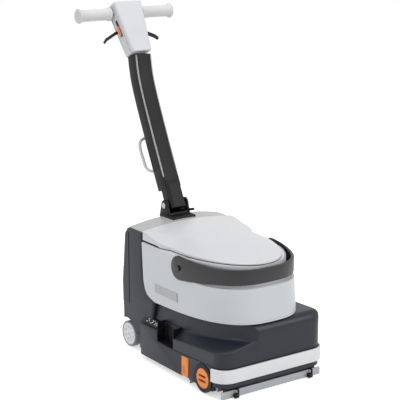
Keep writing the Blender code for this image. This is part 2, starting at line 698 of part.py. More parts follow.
def pulley(name, radius, bore, centre):
    low = PULLEY_X
    high = PULLEY_X + PULLEY_WIDTH
    rim = radius + BELT_THICK
    piece = turned(name, [(bore, low), (rim, low), (rim, low + 0.0012), (radius, low + 0.0015),
                          (radius, high - 0.0015), (rim, high - 0.0012), (rim, high), (bore, high)],
                   "X", centre, aluminium, sides=28, ring=True)
    pivot_at(piece, (0, centre[0], centre[1]))
    return piece


pulley("motor_pulley", MOTOR_PULLEY_RADIUS, 0.004 + GAP, (MOTOR_Y, MOTOR_Z))
pulley("brush_pulley", BRUSH_PULLEY_RADIUS, SPINDLE_RADIUS + GAP, (BRUSH_Y, BRUSH_RADIUS))


def belt_line(grow):
    """Open belt around the two pulleys in the (y, z) plane, with the small pulley up and behind."""
    along = Vector((MOTOR_Y - BRUSH_Y, MOTOR_Z - BRUSH_RADIUS))
    big = BRUSH_PULLEY_RADIUS + grow
    small = MOTOR_PULLEY_RADIUS + grow
    heading = degrees(atan2(along.y, along.x))
    wrap = degrees(acos((big - small) / along.length))
    upper = arc(MOTOR_Y, MOTOR_Z, small, heading - wrap, heading + wrap, 10)
    lower = arc(BRUSH_Y, BRUSH_RADIUS, big, heading + wrap, heading + 360 - wrap, 18)
    return upper + lower


cut(chassis, prism("belt_slot", belt_line(BELT_THICK + 0.004), "X", PULLEY_X - 0.006,
                   PULLEY_X + PULLEY_WIDTH + 0.006,
                   None))
belt_low = PULLEY_X + 0.0015 + GAP
belt_high = PULLEY_X + PULLEY_WIDTH - 0.0015 - GAP
belt = prism("drive_belt", belt_line(GAP * 1.5 + BELT_THICK), "X", belt_low, belt_high, rubber)
cut(belt, prism("belt_inside", belt_line(GAP * 1.5), "X", belt_low - 0.01, belt_high + 0.01, None))

spindle = rod("brush_spindle", SPINDLE_RADIUS, "X", (BRUSH_Y, BRUSH_RADIUS), BRUSH_RIGHT - 0.008,
              PULLEY_X + PULLEY_WIDTH + 0.004, steel, sides=24)
pivot_at(spindle, (0, BRUSH_Y, BRUSH_RADIUS))
brush_bore = SPINDLE_RADIUS + GAP
brush = turned("brush_roller", [(brush_bore, BRUSH_RIGHT), (0.030, BRUSH_RIGHT),
                                (BRUSH_RADIUS, BRUSH_RIGHT + 0.006),
                                (BRUSH_RADIUS, BRUSH_LEFT - 0.006), (0.030, BRUSH_LEFT),
                                (brush_bore, BRUSH_LEFT)],
               "X", (BRUSH_Y, BRUSH_RADIUS), bristle, sides=36, ring=True)
pivot_at(brush, (0, BRUSH_Y, BRUSH_RADIUS))

panel_face = -(BODY_HALF + PANEL_PROUD)
panel_back = panel_face + PANEL_THICK
tube("brush_port_ring", PORT_RADIUS, CAP_RADIUS + GAP, "X", (BRUSH_Y, BRUSH_RADIUS), panel_face - 0.002,
     panel_back + 0.0015, black)
cap = turned("brush_end_cover", [(0, panel_back + 0.001), (CAP_RADIUS, panel_back + 0.001),
                                 (CAP_RADIUS, panel_face - 0.0025),
                                 (CAP_RADIUS - 0.002, panel_face - 0.0045),
                                 (0, panel_face - 0.0045)], "X", (BRUSH_Y, BRUSH_RADIUS), orange,
                                 sides=32)
grip_slot = block("cap_grip_slot", (panel_face - 0.02, BRUSH_Y - 0.019, BRUSH_RADIUS - 0.012),
                  (panel_face + 0.0025, BRUSH_Y + 0.019, BRUSH_RADIUS + 0.012), None)
cut(grip_slot, block("cap_grip_bar", (panel_face - 0.03, BRUSH_Y - 0.0235, BRUSH_RADIUS - 0.004),
                     (panel_face + 0.01, BRUSH_Y + 0.0235, BRUSH_RADIUS + 0.004), None))
cut(cap, grip_slot)

latch_axis = (panel_face + 0.004, LATCH_HIGH - 0.004)
latch_outline = [(panel_back - 0.001, LATCH_LOW), (panel_back - 0.001, LATCH_HIGH),
                 (panel_face - 0.0005, LATCH_HIGH),
                 (panel_face - 0.002, LATCH_HIGH - 0.003), (panel_face - 0.002, LATCH_LOW + 0.003),
                 (panel_face - 0.0005, LATCH_LOW)]
latch = prism("side_latch", latch_outline, "Y", -LATCH_FRONT, -LATCH_REAR, orange)
cut(latch, block("latch_finger_dish", (panel_face - 0.02, -LATCH_FRONT + 0.008, LATCH_LOW + 0.012),
                 (panel_face + 0.0015, -LATCH_REAR - 0.008, LATCH_LOW + 0.034), None))

# ---------------------------------------------------------------- water pump and hose
pump_z = pan_top + 0.018 + GAP
turned("water_pump", [(0, -0.075), (0.014, -0.075), (0.018, -0.071), (0.018, -0.020), (0.013, -0.016),
                      (0.013, -0.004), (0.004, -0.002), (0.004, 0.004), (0, 0.004)], "X",
                      (MOTOR_Y, pump_z), black,
       sides=20)
hose_top = seat(MOTOR_Y) - WALL - GAP
hose_rise = [Vector((0.0043, MOTOR_Y, pump_z)), Vector((0.014, MOTOR_Y, pump_z)),
             Vector((0.022, MOTOR_Y, pump_z + 0.003)),
             Vector((0.028, MOTOR_Y, pump_z + 0.009)), Vector((0.031, MOTOR_Y, pump_z + 0.018))]
steps = 5
hose_end = hose_rise[-1]
for i in range(1, steps + 1):
    hose_rise.append(Vector((hose_end.x, MOTOR_Y, hose_end.z + (hose_top - hose_end.z) * i / steps)))
hose_curve = bpy.data.curves.new("solution_hose", "CURVE")
hose_curve.dimensions = "3D"
hose_curve.bevel_depth = 0.005
hose_curve.bevel_resolution = 2
hose_curve.use_fill_caps = True
hose_line = hose_curve.splines.new("POLY")
hose_line.points.add(len(hose_rise) - 1)
for point, place in zip(hose_line.points, hose_rise):
    point.co = (*place, 1.0)
hose_curve.materials.append(hose_clear)
hose = bpy.data.objects.new("solution_hose", hose_curve)
bpy.context.collection.objects.link(hose)
hose.parent = machine

# ---------------------------------------------------------------- squeegees


def squeegee(tag, blade_y, facing, leg_face):
    """A blade on the floor with its carrier behind it; facing is the side that the blade looks to."""
    near = blade_y - facing * BLADE_THICK / 2
    block(tag + "_squeegee_blade", (-BLADE_HALF, blade_y - BLADE_THICK / 2, 0.0),
          (BLADE_HALF, blade_y + BLADE_THICK / 2, BLADE_HIGH), squeegee_rubber)
    back = sorted((near - facing * GAP, leg_face))
    half = BLADE_HALF - CARRIER_SHORT
    frame = block(tag + "_squeegee_frame", (-half, back[0], CARRIER_LOW), (half, back[1], CARRIER_HIGH),
                  black)
    return frame


front_leg = BRUSH_Y - tunnel_outer - GAP
rear_leg = BRUSH_Y + tunnel_outer + GAP
front_frame = squeegee("front", FRONT_BLADE_Y, -1, front_leg)
squeegee("rear", REAR_BLADE_Y, 1, rear_leg)
roller_y = FRONT_BLADE_Y - BLADE_THICK / 2 - ROLLER_RADIUS - 0.0012
for side, tag in ((-1, "right"), (1, "left")):
    low = side * ROLLER_X - ROLLER_WIDTH / 2
    high = side * ROLLER_X + ROLLER_WIDTH / 2
    roller = tube("front_roller_" + tag, ROLLER_RADIUS, 0.0018, "X", (roller_y, ROLLER_RADIUS), low, high,
                  black,
                  sides=20)
    pivot_at(roller, (0, roller_y, ROLLER_RADIUS))
    arm_low = high + GAP
    arm = block("roller_arm_" + tag, (arm_low, roller_y - 0.003, BLADE_HIGH + GAP),
                (arm_low + 0.003, front_leg - 0.004, BLADE_HIGH + 0.004), None)
    ear = block("roller_ear_" + tag, (arm_low, roller_y - 0.003, ROLLER_RADIUS - 0.003),
                (arm_low + 0.003, roller_y + 0.003, BLADE_HIGH + 0.003), None)
    axle = rod("roller_axle_" + tag, 0.0015, "X", (roller_y, ROLLER_RADIUS), low + 0.001, arm_low + 0.002,
               None, sides=12)
    join(front_frame, arm)
    join(front_frame, ear)
    join(front_frame, axle)

# ---------------------------------------------------------------- tanks
tank = tank_solid("solution_tank", 0.0, 0.12, RIM_Z + 0.03, tank_grey)
keep(tank, prism("tank_side_profile", tank_profile(0.0), "X", -0.3, 0.3, None))
inside = tank_profile(-TANK_WALL)
inside[0] = (inside[0][0], RIM_Z + 0.05)
inside[-1] = (inside[-1][0], RIM_Z + 0.05)
tank_hollow = tank_solid("tank_hollow", TANK_WALL, 0.13, RIM_Z + 0.04, None)
keep(tank_hollow, prism("tank_inside_profile", inside, "X", -0.29, 0.29, None))
keep(tank_hollow, block("tank_inside_rear", (-0.28, -0.70, 0.0), (0.28, -TANK_REAR - TANK_WALL, 0.5),
                        None))
cut(tank, tank_hollow)
lug_back = -TANK_REAR - GAP
lug_front = lug_back - LID_LUG_THICK
hinge_y = (lug_back + lug_front) / 2
for side, tag in ((-1, "right"), (1, "left")):
    middle = side * LID_LUG_X
    ear_plate = prism("lid_ear_" + tag, [(lug_back, RIM_Z - 0.010), (lug_front, RIM_Z - 0.010),
                                         (lug_front, LID_HINGE_Z + 0.003),
                                         (lug_back, LID_HINGE_Z + 0.003)],
                      "X", middle - LID_LUG_HALF, middle + LID_LUG_HALF, None)
    join(tank, ear_plate)
    cut(tank, rod("lid_pin_hole_" + tag, LID_PIN_RADIUS + GAP, "X", (hinge_y, LID_HINGE_Z), middle - 0.02,
                  middle + 0.02, None,
                  sides=12))

flange_top = SEAM_Z - 0.0007
tub_inset = 0.010


def plan(inset, rear, z):
    outline = nose(TANK_HALF - inset, TANK_NOSE_START, TANK_FRONT - inset, rear, TANK_POWER)
    return [(x, y, z) for x, y in outline]


def tub_ring(inset, z):
    return plan(inset, TANK_REAR + 0.004 + inset, z)


tub = loft("recovery_tank", [tub_ring(tub_inset + 0.012, TUB_FLOOR_Z),
                             tub_ring(tub_inset, TUB_FLOOR_Z + 0.025),
                             tub_ring(tub_inset, RIM_Z + GAP), tub_ring(0.0015, RIM_Z + GAP),
                             tub_ring(0.0015, flange_top)], tub_grey)
cut(tub, loft("tub_hollow", [tub_ring(tub_inset + 0.016, TUB_FLOOR_Z + 0.004),
                             tub_ring(tub_inset + 0.004, TUB_FLOOR_Z + 0.028),
                             tub_ring(tub_inset + 0.004, SEAM_Z + 0.02)], None))
float_x = 0.090
float_y = -0.260
join(tub, rod("float_guide", 0.003, "Z", (float_x, float_y), TUB_FLOOR_Z + 0.002, flange_top - 0.004,
              None, sides=16))
float_low = TUB_FLOOR_Z + 0.004 + GAP
ball = turned("float_ball", [(0.0034, float_low), (FLOAT_RADIUS * 0.7, float_low),
                             (FLOAT_RADIUS, float_low + 0.008),
                             (FLOAT_RADIUS, float_low + 0.022), (FLOAT_RADIUS * 0.7, float_low + 0.030),
                             (0.0034, float_low + 0.030)], "Z", (float_x, float_y), float_white, sides=20,
                             ring=True)
pivot_at(ball, (float_x, float_y, float_low))

# ---------------------------------------------------------------- lid


def lid_ring(inset, z, rear_pull):
    return plan(inset, TANK_REAR + 0.001 + rear_pull, z)


LID_STEPS = [(0.000, 0.000), (0.000, 0.18), (0.003, 0.30), (0.010, 0.42), (0.022, 0.53), (0.045, 0.66),
             (0.075, 0.79), (0.105, 0.89), (0.135, 0.96), (0.160, 1.0)]     # inset, share of the crown
lid_rings = [lid_ring(inset, SEAM_Z + LID_CROWN * share, inset * 0.40) for inset, share in LID_STEPS]
lid = loft("tank_lid", lid_rings, lid_grey)
inner_steps = [(LID_WALL, -0.10)] + [(inset + LID_WALL, share) for inset, share in LID_STEPS[1:-1]]
lid_hollow = loft("lid_hollow", [lid_ring(inset + 0.014, SEAM_Z + LID_CROWN * share - LID_WALL,
                                          inset * 0.40 + 0.010) for inset, share in inner_steps], None)
cut(lid, lid_hollow)
seal_low = flange_top + GAP
seal_high = SEAM_Z + 0.006
cut(lid, loft("seal_groove", [lid_ring(LID_WALL, SEAM_Z - 0.01, LID_WALL),
                              lid_ring(LID_WALL, seal_high + GAP, LID_WALL)],
              None))
seal = loft("lid_seal", [lid_ring(LID_WALL + GAP, seal_low, LID_WALL + GAP),
                         lid_ring(LID_WALL + GAP, seal_high, LID_WALL + GAP)], foam)
cut(seal, loft("seal_inside", [lid_ring(0.013, seal_low - 0.01, 0.013),
                               lid_ring(0.013, seal_high + 0.01, 0.013)], None))
for side, tag in ((-1, "right"), (1, "left")):
    middle = side * LID_LUG_X
    notch = block("lid_notch_" + tag, (middle - LID_LUG_HALF - 0.0005, -TANK_REAR - 0.020, SEAM_Z - 0.02),
                  (middle + LID_LUG_HALF + 0.0005, -TANK_REAR + 0.01, LID_HINGE_Z + 0.0065), None)
    cut(lid, notch)
    cut(seal, block("seal_notch_" + tag, (middle - LID_LUG_HALF - 0.0005, -TANK_REAR - 0.0080,
                                          SEAM_Z - 0.02),
                    (middle + LID_LUG_HALF + 0.0005, -TANK_REAR + 0.01, LID_HINGE_Z), None))
pin_reach = LID_LUG_X + 0.012
cut(lid, rod("lid_hinge_hole", LID_PIN_RADIUS + GAP, "X", (hinge_y, LID_HINGE_Z), -pin_reach - GAP,
             pin_reach + GAP, None, sides=12))
rod("lid_hinge_pin", LID_PIN_RADIUS, "X", (hinge_y, LID_HINGE_Z), -pin_reach, pin_reach, steel, sides=12)

# ---------------------------------------------------------------- bail
bail_rear = 0.20
bail_half = TANK_HALF + RUN
bail_reach = TANK_FRONT + BAIL_FRONT_GAP
bail_inner = nose(bail_half, BAIL_NOSE_START, bail_reach, bail_rear, BAIL_POWER)
bail_outer = nose(bail_half + BAIL_THICK, BAIL_NOSE_START, bail_reach + BAIL_THICK, bail_rear, BAIL_POWER)
bail_plan = bail_outer[1:] + [bail_outer[0], bail_inner[0]] + bail_inner[:0:-1]
bail = prism("bail_handle", bail_plan, "Z", BAIL_PIVOT_Z - 0.115, BAIL_PIVOT_Z + 0.085, dark_bail)
bail_front = -(bail_reach + BAIL_THICK) - 0.01
bail_profile = arc(BAIL_PIVOT_Y, BAIL_PIVOT_Z, BAIL_END_RADIUS, 262, 458, 12)
bail_profile += [(BAIL_ARM_STEP, BAIL_FRONT_HIGH + 0.003), (bail_front, BAIL_FRONT_HIGH),
                 (bail_front, BAIL_FRONT_LOW), (BAIL_ARM_STEP, BAIL_FRONT_LOW - 0.004)]
keep(bail, prism("bail_side_profile", bail_profile, "X", -0.3, 0.3, None))
room = [(-half, -along) for along, half in BAIL_ROOM] + [(half, -along) for along,
                                                         half in reversed(BAIL_ROOM)]
cut(bail, prism("bail_room", room, "Z", BAIL_PIVOT_Z - 0.2, BAIL_PIVOT_Z + 0.2, None))
cut(bail, rod("bail_bore", BAIL_PIN_RADIUS + GAP, "X", (BAIL_PIVOT_Y, BAIL_PIVOT_Z), -0.25, 0.25, None,
              sides=20))
for side, tag in ((-1, "right"), (1, "left")):
    seat_half = nose_half(BAIL_PIVOT_Y + BAIL_PIN_RADIUS, TANK_HALF, TANK_NOSE_START,
                          tank_front(BAIL_PIVOT_Z), TANK_POWER)
    inner = side * (seat_half + GAP)
    outer = side * (bail_half + BAIL_THICK + GAP)
    head = side * (bail_half + BAIL_THICK + 0.003)
    turned("bail_pin_" + tag, [(0, inner), (BAIL_PIN_RADIUS, inner), (BAIL_PIN_RADIUS, outer),
                               (BAIL_PIN_RADIUS + 0.003, outer), (BAIL_PIN_RADIUS + 0.0025, head),
                               (0, head)], "X",
           (BAIL_PIVOT_Y, BAIL_PIVOT_Z), steel, sides=20)

# ---------------------------------------------------------------- column bracket
pivot_z = TOWER_CROWN + PIVOT_RISE
ear_low = TOWER_CROWN + GAP
ear_outer = COLUMN_HALF + RUN + EAR_THICK
ear_line = [(PIVOT_Y - 0.028, ear_low), (PIVOT_Y + 0.028, ear_low)]
ear_line += arc(PIVOT_Y, pivot_z, EAR_RADIUS, 0, 180, 10)
bracket = prism("column_bracket", ear_line, "X", -ear_outer, ear_outer, column_black)
cut(bracket, block("bracket_slot", (-COLUMN_HALF - RUN, -0.1, ear_low + 0.008),
                   (COLUMN_HALF + RUN, 0.1, 0.6), None))
cut(bracket, rod("bracket_bore", PIN_RADIUS + GAP, "X", (PIVOT_Y, pivot_z), -0.1, 0.1, None, sides=20))
pin_end = ear_outer + 0.003
turned("hinge_pin", [(0, -pin_end), (PIN_RADIUS + 0.004, -pin_end),
                     (PIN_RADIUS + 0.004, -ear_outer - GAP),
                     (PIN_RADIUS, -ear_outer - GAP), (PIN_RADIUS, ear_outer + GAP),
                     (PIN_RADIUS + 0.004, ear_outer + GAP),
                     (PIN_RADIUS + 0.004, pin_end), (0, pin_end)], "X", (PIVOT_Y, pivot_z), steel,
                     sides=20)
lever_x = ear_outer + GAP
lever_pivot = (PIVOT_Y - 0.014, ear_low + 0.0075)
lever_line = arc(lever_pivot[0], lever_pivot[1], 0.0055, -140, 40, 6)
lever_line += [(lever_pivot[0] - 0.031, ear_low + 0.0205), (lever_pivot[0] - 0.036, ear_low + 0.0135)]

# ---------------------------------------------------------------- column
column = bpy.data.objects.new("column_frame", None)
bpy.context.collection.objects.link(column)
column.parent = machine
column.location = (0, PIVOT_Y, pivot_z)


def bend_rings(shape, first, last, end_lean):
    """Rings of a section (u across, v towards the rear) along the column's bend."""
    rings = []
    for i in range(first, last + 1):
        here = Vector(COLUMN_BEND[i])
        before = Vector(COLUMN_BEND[max(i - 1, 0)])
        after = Vector(COLUMN_BEND[min(i + 1, len(COLUMN_BEND) - 1)])
        heading = (after - before).normalized()
        if i == len(COLUMN_BEND) - 1:
            heading = Vector((sin(end_lean), cos(end_lean)))
        rings.append([(u, here.x + v * heading.y, here.y - v * heading.x) for u, v in shape])
    return rings


def section(half, depth, chamfer):
    deep = depth / 2
    return [(-half, deep), (-half, -deep + chamfer), (-half + chamfer, -deep), (half - chamfer, -deep),
            (half, -deep + chamfer), (half, deep)]


last = len(COLUMN_BEND) - 1
shaft = loft("column_tube", bend_rings(section(COLUMN_HALF, COLUMN_DEPTH, COLUMN_CHAMFER), 1, last,
                                       HEAD_LEAN),
             column_black, column)
foot = Vector(COLUMN_BEND[1])
foot_way = (Vector(COLUMN_BEND[2]) - Vector(COLUMN_BEND[0])).normalized()
foot_back = Vector((foot_way.y, -foot_way.x)) * (COLUMN_DEPTH / 2 - 0.001)
knuckle_line = arc(0, 0, EAR_RADIUS - 0.002, 150, 390, 10)
knuckle_line += [tuple(foot + foot_back + foot_way * 0.004), tuple(foot - foot_back + foot_way * 0.004)]
join(shaft, prism("knuckle", knuckle_line, "X", -COLUMN_HALF, COLUMN_HALF, None, column))
bore_rings = bend_rings(section(COLUMN_HALF - COLUMN_WALL, COLUMN_DEPTH - 2 * COLUMN_WALL,
                                COLUMN_CHAMFER), 2, last,
                        HEAD_LEAN)
extra = [(u, y + 0.02 * sin(HEAD_LEAN), z + 0.02 * cos(HEAD_LEAN)) for u, y, z in bore_rings[-1]]
cut(shaft, loft("column_bore", bore_rings + [extra], None, column))
cut(shaft, rod("knuckle_bore", PIN_RADIUS + GAP, "X", (0, 0), -0.1, 0.1, None, column, sides=20))
for side, tag in ((-1, "right"), (1, "left")):
    deep = COLUMN_DEPTH / 2
    a = Vector((side * COLUMN_HALF, -deep + COLUMN_CHAMFER))
    b = Vector((side * (COLUMN_HALF - COLUMN_CHAMFER), -deep))
    out = Vector((side, -1)).normalized()
    strip = [tuple(a + out * GAP), tuple(b + out * GAP), tuple(b + out * 0.0014), tuple(a + out * 0.0014)]
    trim_rings = bend_rings(strip, 1, last, HEAD_LEAN)
    trim_rings[0] = [Vector(p).lerp(Vector(q), 0.12) for p, q in zip(trim_rings[0], trim_rings[1])]
    loft("column_trim_" + tag, trim_rings, silver, column)

loop_a = Vector(COLUMN_BEND[2])
loop_b = Vector(COLUMN_BEND[3])
loop_way = (loop_b - loop_a).normalized()
loop_back = Vector((loop_way.y, -loop_way.x))
loop_base = loop_a + loop_back * (COLUMN_DEPTH / 2 + GAP) - loop_way * LOOP_DROP

def loop_point(along, out):
    place = loop_base + loop_way * along + loop_back * out
    return (place.x, place.y)


loop_inside = LOOP_REACH - LOOP_BAR
loop_line = [loop_point(0, 0), loop_point(LOOP_BAR, 0), loop_point(LOOP_BAR + LOOP_SLOPE, loop_inside),
             loop_point(LOOP_LENGTH - LOOP_BAR - LOOP_SLOPE, loop_inside),
             loop_point(LOOP_LENGTH - LOOP_BAR, 0),
             loop_point(LOOP_LENGTH, 0), loop_point(LOOP_LENGTH - LOOP_SLOPE, LOOP_REACH),
             loop_point(LOOP_SLOPE, LOOP_REACH)]
prism("carry_loop", loop_line, "X", -LOOP_HALF, LOOP_HALF, tank_grey, column)

# ---------------------------------------------------------------- handle head
head = bpy.data.objects.new("head_frame", None)
bpy.context.collection.objects.link(head)
head.parent = column
head.location = (0, column_top[0], column_top[1])
head.rotation_euler = (-HEAD_LEAN, 0, 0)


def head_half(along):
    return HEAD_HALF_LOW + (HEAD_HALF_HIGH - HEAD_HALF_LOW) * along / HEAD_LENGTH


def head_rings(low, high, inset, front, rear):
    rings = []
    for along in (low, high):
        half = head_half(along) - inset
        rings.append([(-half, rear, along), (-half, front + 0.006, along), (-half + 0.006, front, along),
                      (half - 0.006, front, along), (half, front + 0.006, along), (half, rear, along)])
    return rings


head_deep = HEAD_DEPTH / 2
head_low = GAP
front_shell = loft("head_front_shell", head_rings(head_low, HEAD_LENGTH, 0, -head_deep, HEAD_SPLIT),
                   head_grey, head)
cut(front_shell, loft("front_shell_hollow", head_rings(head_low + 0.003, HEAD_LENGTH - 0.003, 0.003,
                                                       -head_deep + 0.003,
                                                       HEAD_SPLIT + 0.01), None, head))
rear_low = HEAD_SPLIT + GAP
rear_shell = loft("head_rear_shell", [[(-h, rear_low, s), (h, rear_low, s), (h, head_deep - 0.006, s),
                                       (h - 0.006, head_deep, s), (-h + 0.006, head_deep, s),
                                       (-h, head_deep - 0.006, s)]
                                      for s, h in ((head_low, head_half(head_low)),
                                                   (HEAD_LENGTH, head_half(HEAD_LENGTH)))],
                  head_grey, head)
cut(rear_shell, loft("rear_shell_hollow", [[(-h, rear_low - 0.01, s), (h, rear_low - 0.01, s),
                                            (h, head_deep - 0.003, s),
                                            (-h, head_deep - 0.003, s)]
                                           for s, h in ((head_low + 0.003, head_half(head_low) - 0.003),
                                                        (HEAD_LENGTH - 0.003,
                                                         head_half(HEAD_LENGTH) - 0.003))], None, head))
cut(rear_shell, rod("bar_bore", BAR_RADIUS + GAP, "X", (BAR_DEPTH, BAR_ALONG), -0.1, 0.1, None, head,
                    sides=24))
rod("handle_bar", BAR_RADIUS, "X", (BAR_DEPTH, BAR_ALONG), -GRIP_END + 0.004, GRIP_END - 0.004, steel,
    head, sides=24)
for side, tag in ((-1, "right"), (1, "left")):
    start = side * GRIP_START
    stop = side * GRIP_END
    bore = BAR_RADIUS + GAP
    turned("grip_" + tag, [(bore, start), (GRIP_RADIUS, start), (GRIP_RADIUS, stop - side * 0.010),
                           (FLANGE_RADIUS - 0.001, stop - side * 0.006),
                           (FLANGE_RADIUS, stop - side * 0.003),
                           (FLANGE_RADIUS - 0.003, stop), (0, stop), (0, stop - side * 0.0035),
                           (bore, stop - side * 0.0035)],
           "X", (BAR_DEPTH, BAR_ALONG), grip_grey, head, sides=28, ring=True)

    root_x = side * (head_half(TRIGGER_ALONG) + 0.0065)
    tip_x = side * (head_half(TRIGGER_ALONG) + TRIGGER_REACH)
    trigger_depth = head_deep - 0.010
    bend_x = tip_x - side * 0.010
    lever = arc(root_x, TRIGGER_ALONG, TRIGGER_EYE, 90, 90 + side * 180, 8)
    lever += [(bend_x, TRIGGER_ALONG - 0.027), (tip_x, TRIGGER_ALONG - 0.036),
              (tip_x + side * 0.003, TRIGGER_ALONG - 0.029),
              (bend_x + side * 0.002, TRIGGER_ALONG - 0.017)]
    trigger = prism("trigger_" + tag, lever, "Y", trigger_depth - 0.006, trigger_depth + 0.006, black,
                    head)
    pivot_at(trigger, (root_x, trigger_depth, TRIGGER_ALONG))

side_lean = atan2(HEAD_HALF_HIGH - HEAD_HALF_LOW, HEAD_LENGTH)
switch = bpy.data.objects.new("switch_frame", None)
bpy.context.collection.objects.link(switch)
switch.parent = head
switch.location = (-head_half(SWITCH_LOW), 0.001, SWITCH_LOW)
switch.rotation_euler = (0, -side_lean, 0)
switch_length = SWITCH_HIGH - SWITCH_LOW
bezel = block("switch_bezel", (-0.0018, -SWITCH_WIDTH / 2, 0), (-GAP, SWITCH_WIDTH / 2, switch_length),
              black, switch)
slider_length = switch_length * 0.58
block("vacuum_switch", (-0.0055, -SWITCH_WIDTH / 2 + 0.001, 0.004),
      (-0.0018 - GAP, SWITCH_WIDTH / 2 - 0.001,
                                                                   0.004 + slider_length), orange, switch)

lever = prism("lock_lever", lever_line, "X", lever_x, lever_x + 0.004, black)
pivot_at(lever, (lever_x, lever_pivot[0], lever_pivot[1]))
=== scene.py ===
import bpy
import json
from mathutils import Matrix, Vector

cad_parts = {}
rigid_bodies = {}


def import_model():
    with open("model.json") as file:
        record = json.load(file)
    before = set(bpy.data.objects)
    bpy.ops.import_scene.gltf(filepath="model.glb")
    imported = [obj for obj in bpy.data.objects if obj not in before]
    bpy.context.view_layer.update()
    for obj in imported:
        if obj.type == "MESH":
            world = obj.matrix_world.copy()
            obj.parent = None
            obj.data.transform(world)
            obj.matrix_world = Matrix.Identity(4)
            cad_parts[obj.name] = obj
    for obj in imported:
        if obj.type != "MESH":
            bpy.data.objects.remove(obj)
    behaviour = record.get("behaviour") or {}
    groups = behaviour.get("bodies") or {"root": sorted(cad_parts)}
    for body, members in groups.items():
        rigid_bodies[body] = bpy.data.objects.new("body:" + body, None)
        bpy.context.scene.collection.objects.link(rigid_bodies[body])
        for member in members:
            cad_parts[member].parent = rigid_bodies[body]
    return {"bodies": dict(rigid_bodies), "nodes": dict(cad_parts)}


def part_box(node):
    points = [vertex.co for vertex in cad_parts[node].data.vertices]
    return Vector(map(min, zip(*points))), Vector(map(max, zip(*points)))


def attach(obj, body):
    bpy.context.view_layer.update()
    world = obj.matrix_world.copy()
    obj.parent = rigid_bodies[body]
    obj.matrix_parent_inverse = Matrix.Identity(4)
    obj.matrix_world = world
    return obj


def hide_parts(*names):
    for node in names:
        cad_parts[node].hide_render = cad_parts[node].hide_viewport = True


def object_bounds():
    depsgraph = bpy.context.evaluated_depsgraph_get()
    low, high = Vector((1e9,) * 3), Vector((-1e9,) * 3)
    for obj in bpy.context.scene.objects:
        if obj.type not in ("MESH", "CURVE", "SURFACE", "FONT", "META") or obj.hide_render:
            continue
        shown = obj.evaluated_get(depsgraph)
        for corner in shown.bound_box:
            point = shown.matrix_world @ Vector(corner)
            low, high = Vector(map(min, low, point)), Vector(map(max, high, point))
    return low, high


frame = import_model()
cadBox = [list(corner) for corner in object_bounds()]

import json
import math

import bpy
from mathutils import Matrix, Vector

print("frame loaded:", len(frame["nodes"]), "nodes")

# The rear axle is the line that every size of the body is counted from.
axleLow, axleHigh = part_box("wheel_hub_right")
axleY = (axleLow.y + axleHigh.y) / 2
mm = 0.001


# small helpers

def deselectAll():
    if bpy.context.object and bpy.context.object.mode != "OBJECT":
        bpy.ops.object.mode_set(mode="OBJECT")
    bpy.ops.object.select_all(action="DESELECT")


def selectOnly(piece):
    deselectAll()
    piece.select_set(True)
    bpy.context.view_layer.objects.active = piece


def editAll(piece):
    selectOnly(piece)
    bpy.ops.object.mode_set(mode="EDIT")
    bpy.ops.mesh.select_mode(type="VERT")
    bpy.ops.mesh.select_all(action="SELECT")


def applyModifier(piece, kind, **settings):
    selectOnly(piece)
    step = piece.modifiers.new(kind.lower(), kind)
    for key, value in settings.items():
        setattr(step, key, value)
    bpy.ops.object.modifier_apply(modifier=step.name)


def settle(piece):
    # the object stays at the origin, with its place in its mesh
    selectOnly(piece)
    bpy.ops.object.transform_apply(location=True, rotation=True, scale=True)


def bodyOf(nodeName):
    holder = frame["nodes"][nodeName].parent
    return next(name for name, empty in frame["bodies"].items() if empty is holder)


def slotOf(nodeName):
    return frame["nodes"][nodeName].data.materials[0].name


def finishPiece(piece, name, finish, node=None, body=None, slot=None, edge=0, steps=2, smooth=32):
    piece.name = name
    piece.data.name = name
    settle(piece)
    if edge:
        applyModifier(piece, "BEVEL", width=edge, segments=steps, limit_method="ANGLE",
                      angle_limit=math.radians(28), use_clamp_overlap=False,
                      miter_outer="MITER_SHARP")
    # every point is held inside the CAD model's own box along y, so a sharp bevel corner does not reach
    # past it there
    for corner in piece.data.vertices:
        corner.co.y = min(max(corner.co.y, cadBox[0][1]), cadBox[1][1])
    selectOnly(piece)
    bpy.ops.object.shade_smooth_by_angle(angle=math.radians(smooth))
    piece.data.materials.clear()
    piece.data.materials.append(finishes[finish])
    if node:
        body = body or bodyOf(node)
        slot = slot or slotOf(node)
        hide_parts(node)
    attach(piece, body)
    return piece


def mergedCopy(nodeName):
    # A CAD node is loose triangles, so its copy is merged and its flat faces are joined up.
    selectOnly(frame["nodes"][nodeName])
    bpy.ops.object.duplicate()
    copy = bpy.context.object
    bpy.ops.object.parent_clear(type="CLEAR_KEEP_TRANSFORM")
    if copy.data.has_custom_normals:
        bpy.ops.mesh.customdata_custom_splitnormals_clear()
    editAll(copy)
    bpy.ops.mesh.remove_doubles(threshold=2e-6)
    bpy.ops.mesh.dissolve_limited(angle_limit=math.radians(.5))
    bpy.ops.object.mode_set(mode="OBJECT")
    return copy


def softCopy(nodeName, finish, edge, steps):
    return finishPiece(mergedCopy(nodeName), nodeName + "_shaped", finish, node=nodeName,
                       edge=edge, steps=steps)


def spreadSheet(across, along, place, closed=True):
    # A flat grid whose every point is set by place(u, v), then welded where it meets itself.
    deselectAll()
    bpy.ops.mesh.primitive_grid_add(x_subdivisions=across, y_subdivisions=along, size=1)
    piece = bpy.context.object
    for point in piece.data.vertices:
        point.co = place(point.co.x + .5, point.co.y + .5)
    editAll(piece)
    bpy.ops.mesh.remove_doubles(threshold=2e-6)
    if closed:
        bpy.ops.mesh.select_all(action="SELECT")
        bpy.ops.mesh.normals_make_consistent(inside=False)
    bpy.ops.object.mode_set(mode="OBJECT")
    return piece


def loftRings(rings):
    # A skin through rings of equally many points; the first and last ring are closed by themselves.
    count = len(rings[0])
    last = len(rings) - 1

    def place(u, v):
        ring = rings[round(v * last)]
        return ring[round(u * count) % count]
    return spreadSheet(count, last, place)


